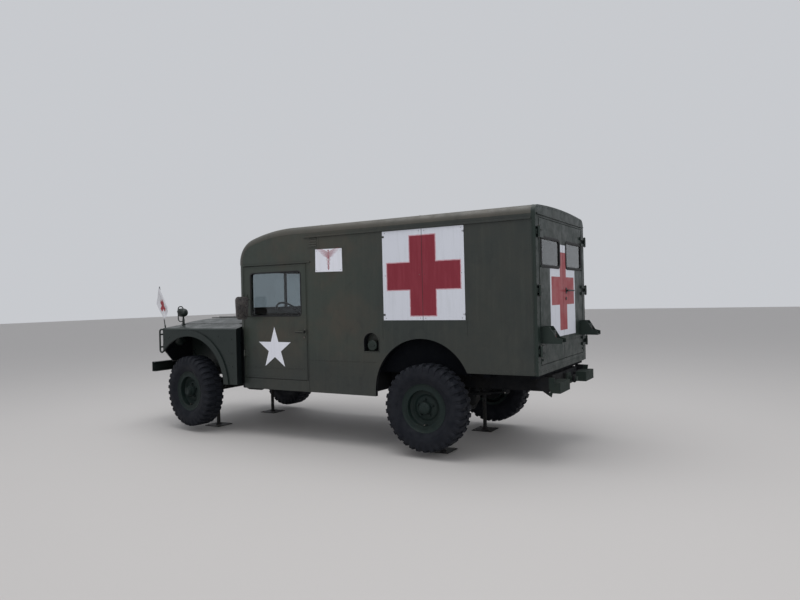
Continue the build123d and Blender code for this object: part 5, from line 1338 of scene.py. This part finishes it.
def cushion(name, x, y, z):
    """A padded seat: a box with soft corners, swelled and kept inside its space."""
    spans = [sorted(span) for span in (x, y, z)]
    low = Vector([span[0] + CUSHION_START for span in spans])
    high = Vector([span[1] - CUSHION_START for span in spans])
    made = bmesh.new()
    bmesh.ops.create_cube(made, size=1.0)
    bmesh.ops.scale(made, vec=high - low, verts=made.verts)
    bmesh.ops.bevel(made, geom=list(made.edges), offset=0.022, segments=3, affect="EDGES", profile=0.5)
    bmesh.ops.translate(made, vec=(low + high) / 2, verts=made.verts)
    data = bpy.data.meshes.new(name)
    made.to_mesh(data)
    made.free()
    piece = in_scene(name, data)
    remesh = piece.modifiers.new("remesh", "REMESH")
    remesh.mode = "VOXEL"
    remesh.voxel_size = CUSHION_VOXEL
    depsgraph = bpy.context.evaluated_depsgraph_get()
    piece.data = bpy.data.meshes.new_from_object(piece.evaluated_get(depsgraph))
    piece.modifiers.clear()
    if simulate_cushions:
        inflate(piece)
    for vertex in piece.data.vertices:
        for axis, (least, most) in enumerate(spans):
            vertex.co[axis] = min(max(vertex.co[axis], least + CUSHION_CLEAR), most - CUSHION_CLEAR)
    piece.data.materials.clear()
    piece.data.materials.append(MATERIALS["canvas"])
    piece.data.shade_smooth()
    smooth = piece.modifiers.new("soften", "SMOOTH")
    smooth.factor = 0.5
    smooth.iterations = 4
    subdivide = piece.modifiers.new("subdivide", "SUBSURF")
    subdivide.levels = 1
    subdivide.render_levels = 1
    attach(piece, "truck")
    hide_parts("seat_cushions")


SEAT_X = (FRONT_X - 1.700, FRONT_X - 1.205)
SEAT_TOP = FLOOR_TOP + 0.165
PARTITION_X = FRONT_X - 1.758
BENCH_Z = up(0.528) + 0.214
BENCH_X = (REAR_FACE_X + 0.050, PARTITION_X - 0.010)
simulate_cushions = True

for side, sign in SIDES.items():
    seat_y = (sign * 0.180, sign * 0.660)
    bench_y = (sign * 0.430, sign * 0.780)
    back_x = (PARTITION_X + 0.0253, SEAT_X[0] + 0.0847)
    pad_x = (SEAT_X[0] + 0.085, SEAT_X[1])
    cushion(f"{side}_cab_seat_pad", pad_x, seat_y, (SEAT_TOP + 0.0003, SEAT_TOP + 0.110))
    cushion(f"{side}_cab_seat_back", back_x, seat_y, (FLOOR_TOP + 0.180, FLOOR_TOP + 0.690))
    cushion(f"{side}_bench_pad", BENCH_X, bench_y, (BENCH_Z + 0.0003, BENCH_Z + 0.070))


# Under the truck: U-bolts, shackles, shock absorbers, clamps and bolts

LEAF_MID = up(0.085)
LEAF_EYE = up(0.118)
RAIL_Y = 0.390
# x, y, bolt circle, direction and depth
DIFFERENTIAL_COVERS = ((REAR_X - 0.110, 0.0, 0.128, -1, 0.056), (FRONT_X + 0.100, -0.200, 0.114, 1, 0.022))


def spring_fittings():
    """U-bolts over each spring's seat, rebound clips, eye bolts and shackle plates."""
    form = Form("spring_fittings", "dark_metal", "steel")
    y = RAIL_Y
    for axle_x, half in ((FRONT_X, 0.560), (REAR_X, 0.640)):
        for _ in form.both_sides():
            form.use("dark_metal")
            for x in (axle_x - 0.042, axle_x + 0.042):
                u_bolt = ((-0.038, -0.085), (-0.038, 0.014), (0.038, 0.014), (0.038, -0.085))
                form.pipe(rounded_path([(x, y + dy, LEAF_MID + dz) for dy, dz in u_bolt], 0.010, 4), 0.0065, 8)
            form.block((axle_x - 0.065, axle_x + 0.065), (y - 0.050, y + 0.050), (LEAF_MID - 0.094, LEAF_MID - 0.084))
            for end in (-half, half):
                x = axle_x + end
                form.use("steel").rod((x, y - 0.046, LEAF_EYE), (x, y + 0.046, LEAF_EYE), 0.009, 10)
                form.use("dark_metal")
                for plate_y in (y - 0.041, y + 0.036):
                    plate = rounded_loop((x, LEAF_EYE + 0.012), 0.036, 0.058, 0.017)
                    form.prism(plate, "y", (plate_y, plate_y + 0.005))
                clip_x, clip_z = axle_x + end * 0.5, LEAF_MID + 0.0082
                form.block((clip_x - 0.012, clip_x + 0.012), (y - 0.036, y + 0.036), (clip_z - 0.036, clip_z + 0.012))
    form.done("truck", (), 0.0006)


def shock_absorbers():
    """Four telescopic dampers between the spring seats and the rails, outboard of the frame."""
    form = Form("shock_absorbers", "dark_metal", "black")
    for axle_x, lean in ((FRONT_X, -0.16), (REAR_X, 0.16)):
        for _ in form.both_sides():
            low = Vector((axle_x + lean * 0.35, 0.452, up(0.0) + 0.010))
            high = Vector((axle_x + lean * 1.6, 0.452, up(0.215)))
            run = (high - low).normalized()
            form.use("black").rod(low, low + run * 0.13, 0.021, 18)
            form.use("dark_metal").rod(low + run * 0.11, high, 0.025, 18)
            for eye in (low, high):
                form.rod(eye - Vector((0, 0.034, 0)), eye + Vector((0, 0.022, 0)), 0.009, 10)
    form.done("truck", (), 0.0006)


def axle_fittings():
    """Cover bolts on the differentials and clamps on the exhaust and tank."""
    form = Form("axle_fittings", "dark_metal", "steel", "rust")
    for x, y, radius, out, deep in DIFFERENTIAL_COVERS:
        for c, s in circle(10, 0.5):
            form.bolt((x, y + radius * c, AXLE_Z + radius * s), "x", 0.007, 0.006, out)
        dome = ((0.0, radius - 0.015), (0.54, radius - 0.030), (0.9, radius - 0.060), (1.0, 0.001))
        form.lathe([(out * deep * share, reach) for share, reach in dome], (x, y, AXLE_Z), "x", 40)
    form.use("rust")
    clamp = [(-0.012, 0.0765), (-0.012, 0.079), (0.012, 0.079), (0.012, 0.0765)]
    for dx in (-1.50, -2.02):
        form.lathe(clamp, (FRONT_X + dx, -0.600, up(0.180)), "x", 36, True)
    form.use("dark_metal")
    low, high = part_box("fuel_tank")
    strap = [(y, z) for y in (low.y - 0.003, high.y + 0.003) for z in (high.z - 0.01, low.z - 0.003)]
    strap[2:] = reversed(strap[2:])
    for dx in (-2.40, -2.04):
        form.pipe(rounded_path([(FRONT_X + dx, y, z) for y, z in strap], 0.030), 0.005, 6)
    form.done("truck", (), 0.0006)


def stand_fittings():
    """Bolts through the stands' feet."""
    form = Form("stand_bolts", "steel", "stand_paint")
    for x, y in ((FRONT_X, 0.510), (REAR_X, 0.560)):
        for _ in form.both_sides():
            form.use("steel")
            for dx in (-0.09, 0.09):
                for dy in (-0.09, 0.09):
                    form.bolt((x + dx, y + dy, 0.008), "z", 0.009, 0.008)
            form.use("stand_paint").lathe([(0.008, 0.040), (0.018, 0.036), (0.026, 0.025)], (x, y, 0), "z", 20)
    form.done("truck", (), 0.0006)


def frame_fittings():
    """Rivets of the rails and the pintle's collar."""
    form = Form("frame_rivets", "dark_metal", "steel")
    for _ in form.both_sides():
        for x in (FRONT_X + dx for dx in (0.430, -1.640, -2.300, -2.900, -3.700)):
            for off in (-0.018, 0.018):
                for z in (up(0.180), up(0.276)):
                    form.screw((x + off, 0.420, z), "y", 0.007)
    collar = [(-0.010, 0.034), (-0.004, 0.040), (0.010, 0.040), (0.016, 0.034)]
    form.lathe(collar, (REAR_FACE_X - 0.095, 0.0, up(0.230)), "x", 28)
    form.done("truck", (), 0.0006)


spring_fittings()
shock_absorbers()
axle_fittings()
stand_fittings()
frame_fittings()

# Stage, light and camera

HORIZON = (0.80, 0.82, 0.86)
FLOOR = 60.0
FLOOR_COLOUR = (0.55, 0.53, 0.515)

shade = Shader("studio_floor")
patches = shade.ramp(shade.noise(0.6, 4.0), 0.3, 0.7, 0.0, 0.05)
shade.finish(shade.mix(patches, FLOOR_COLOUR, tuple(0.9 * c for c in FLOOR_COLOUR)), 0.75, Specular_IOR_Level=0.2)
floor_mesh = bpy.data.meshes.new("studio_floor")
floor_corners = [(-FLOOR, -FLOOR, 0), (FLOOR, -FLOOR, 0), (FLOOR, FLOOR, 0), (-FLOOR, FLOOR, 0)]
floor_mesh.from_pydata(floor_corners, [], [(0, 1, 2, 3)])
floor_mesh.materials.append(shade.material)
floor_obj = in_scene("studio_floor", floor_mesh)
floor_obj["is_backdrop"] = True

world = bpy.data.worlds.new("studio")
bpy.context.scene.world = world
world.use_nodes = True
sky = world.node_tree.nodes["Background"]
sky.inputs["Color"].default_value = (*HORIZON, 1)
sky.inputs["Strength"].default_value = 0.72


def area_lamp(name, place, target, size, power):
    data = bpy.data.lights.new(name, "AREA")
    data.shape = "DISK"
    data.size = size
    data.energy = power
    lamp = in_scene(name, data)
    lamp.location = place
    lamp.rotation_euler = (Vector(target) - Vector(place)).to_track_quat("-Z", "Y").to_euler()


area_lamp("overhead", (-0.5, 1.0, 9.0), (0, 0, 1.2), 9.0, 420)
area_lamp("rear_left", (-8.0, 7.0, 5.0), (0, 0, 1.2), 6.0, 160)

# The camera that the photo's perspective was solved for
CAMERA_PLACE = (-4.3081, 6.3835, 1.5530)
CAMERA_YAW = 0.528
CAMERA_PITCH = -0.0025
CAMERA_ROLL = -0.0237
PHOTO_WIDTH = 800
FOCAL_PIXELS = 641.31
SENSOR = 36.0

ahead = (sin(CAMERA_YAW) * cos(CAMERA_PITCH), -cos(CAMERA_YAW) * cos(CAMERA_PITCH))
forward = Vector((*ahead, sin(CAMERA_PITCH)))
level = forward.cross(Vector((0, 0, 1))).normalized()
upright = level.cross(forward)
right = cos(CAMERA_ROLL) * level + sin(CAMERA_ROLL) * upright
top = cos(CAMERA_ROLL) * upright - sin(CAMERA_ROLL) * level
camera_data = bpy.data.cameras.new("camera")
camera_data.sensor_width = SENSOR
camera_data.lens = FOCAL_PIXELS / PHOTO_WIDTH * SENSOR
camera = in_scene("camera", camera_data)
camera.matrix_world = Matrix.Translation(CAMERA_PLACE) @ Matrix((right, top, -forward)).transposed().to_4x4()
bpy.context.scene.camera = camera
bpy.context.scene.view_settings.view_transform = "Standard"

boxes = {"cad": cad_bounds, "visual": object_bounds()}
{key: [list(corner) for corner in pair] for key, pair in boxes.items()}
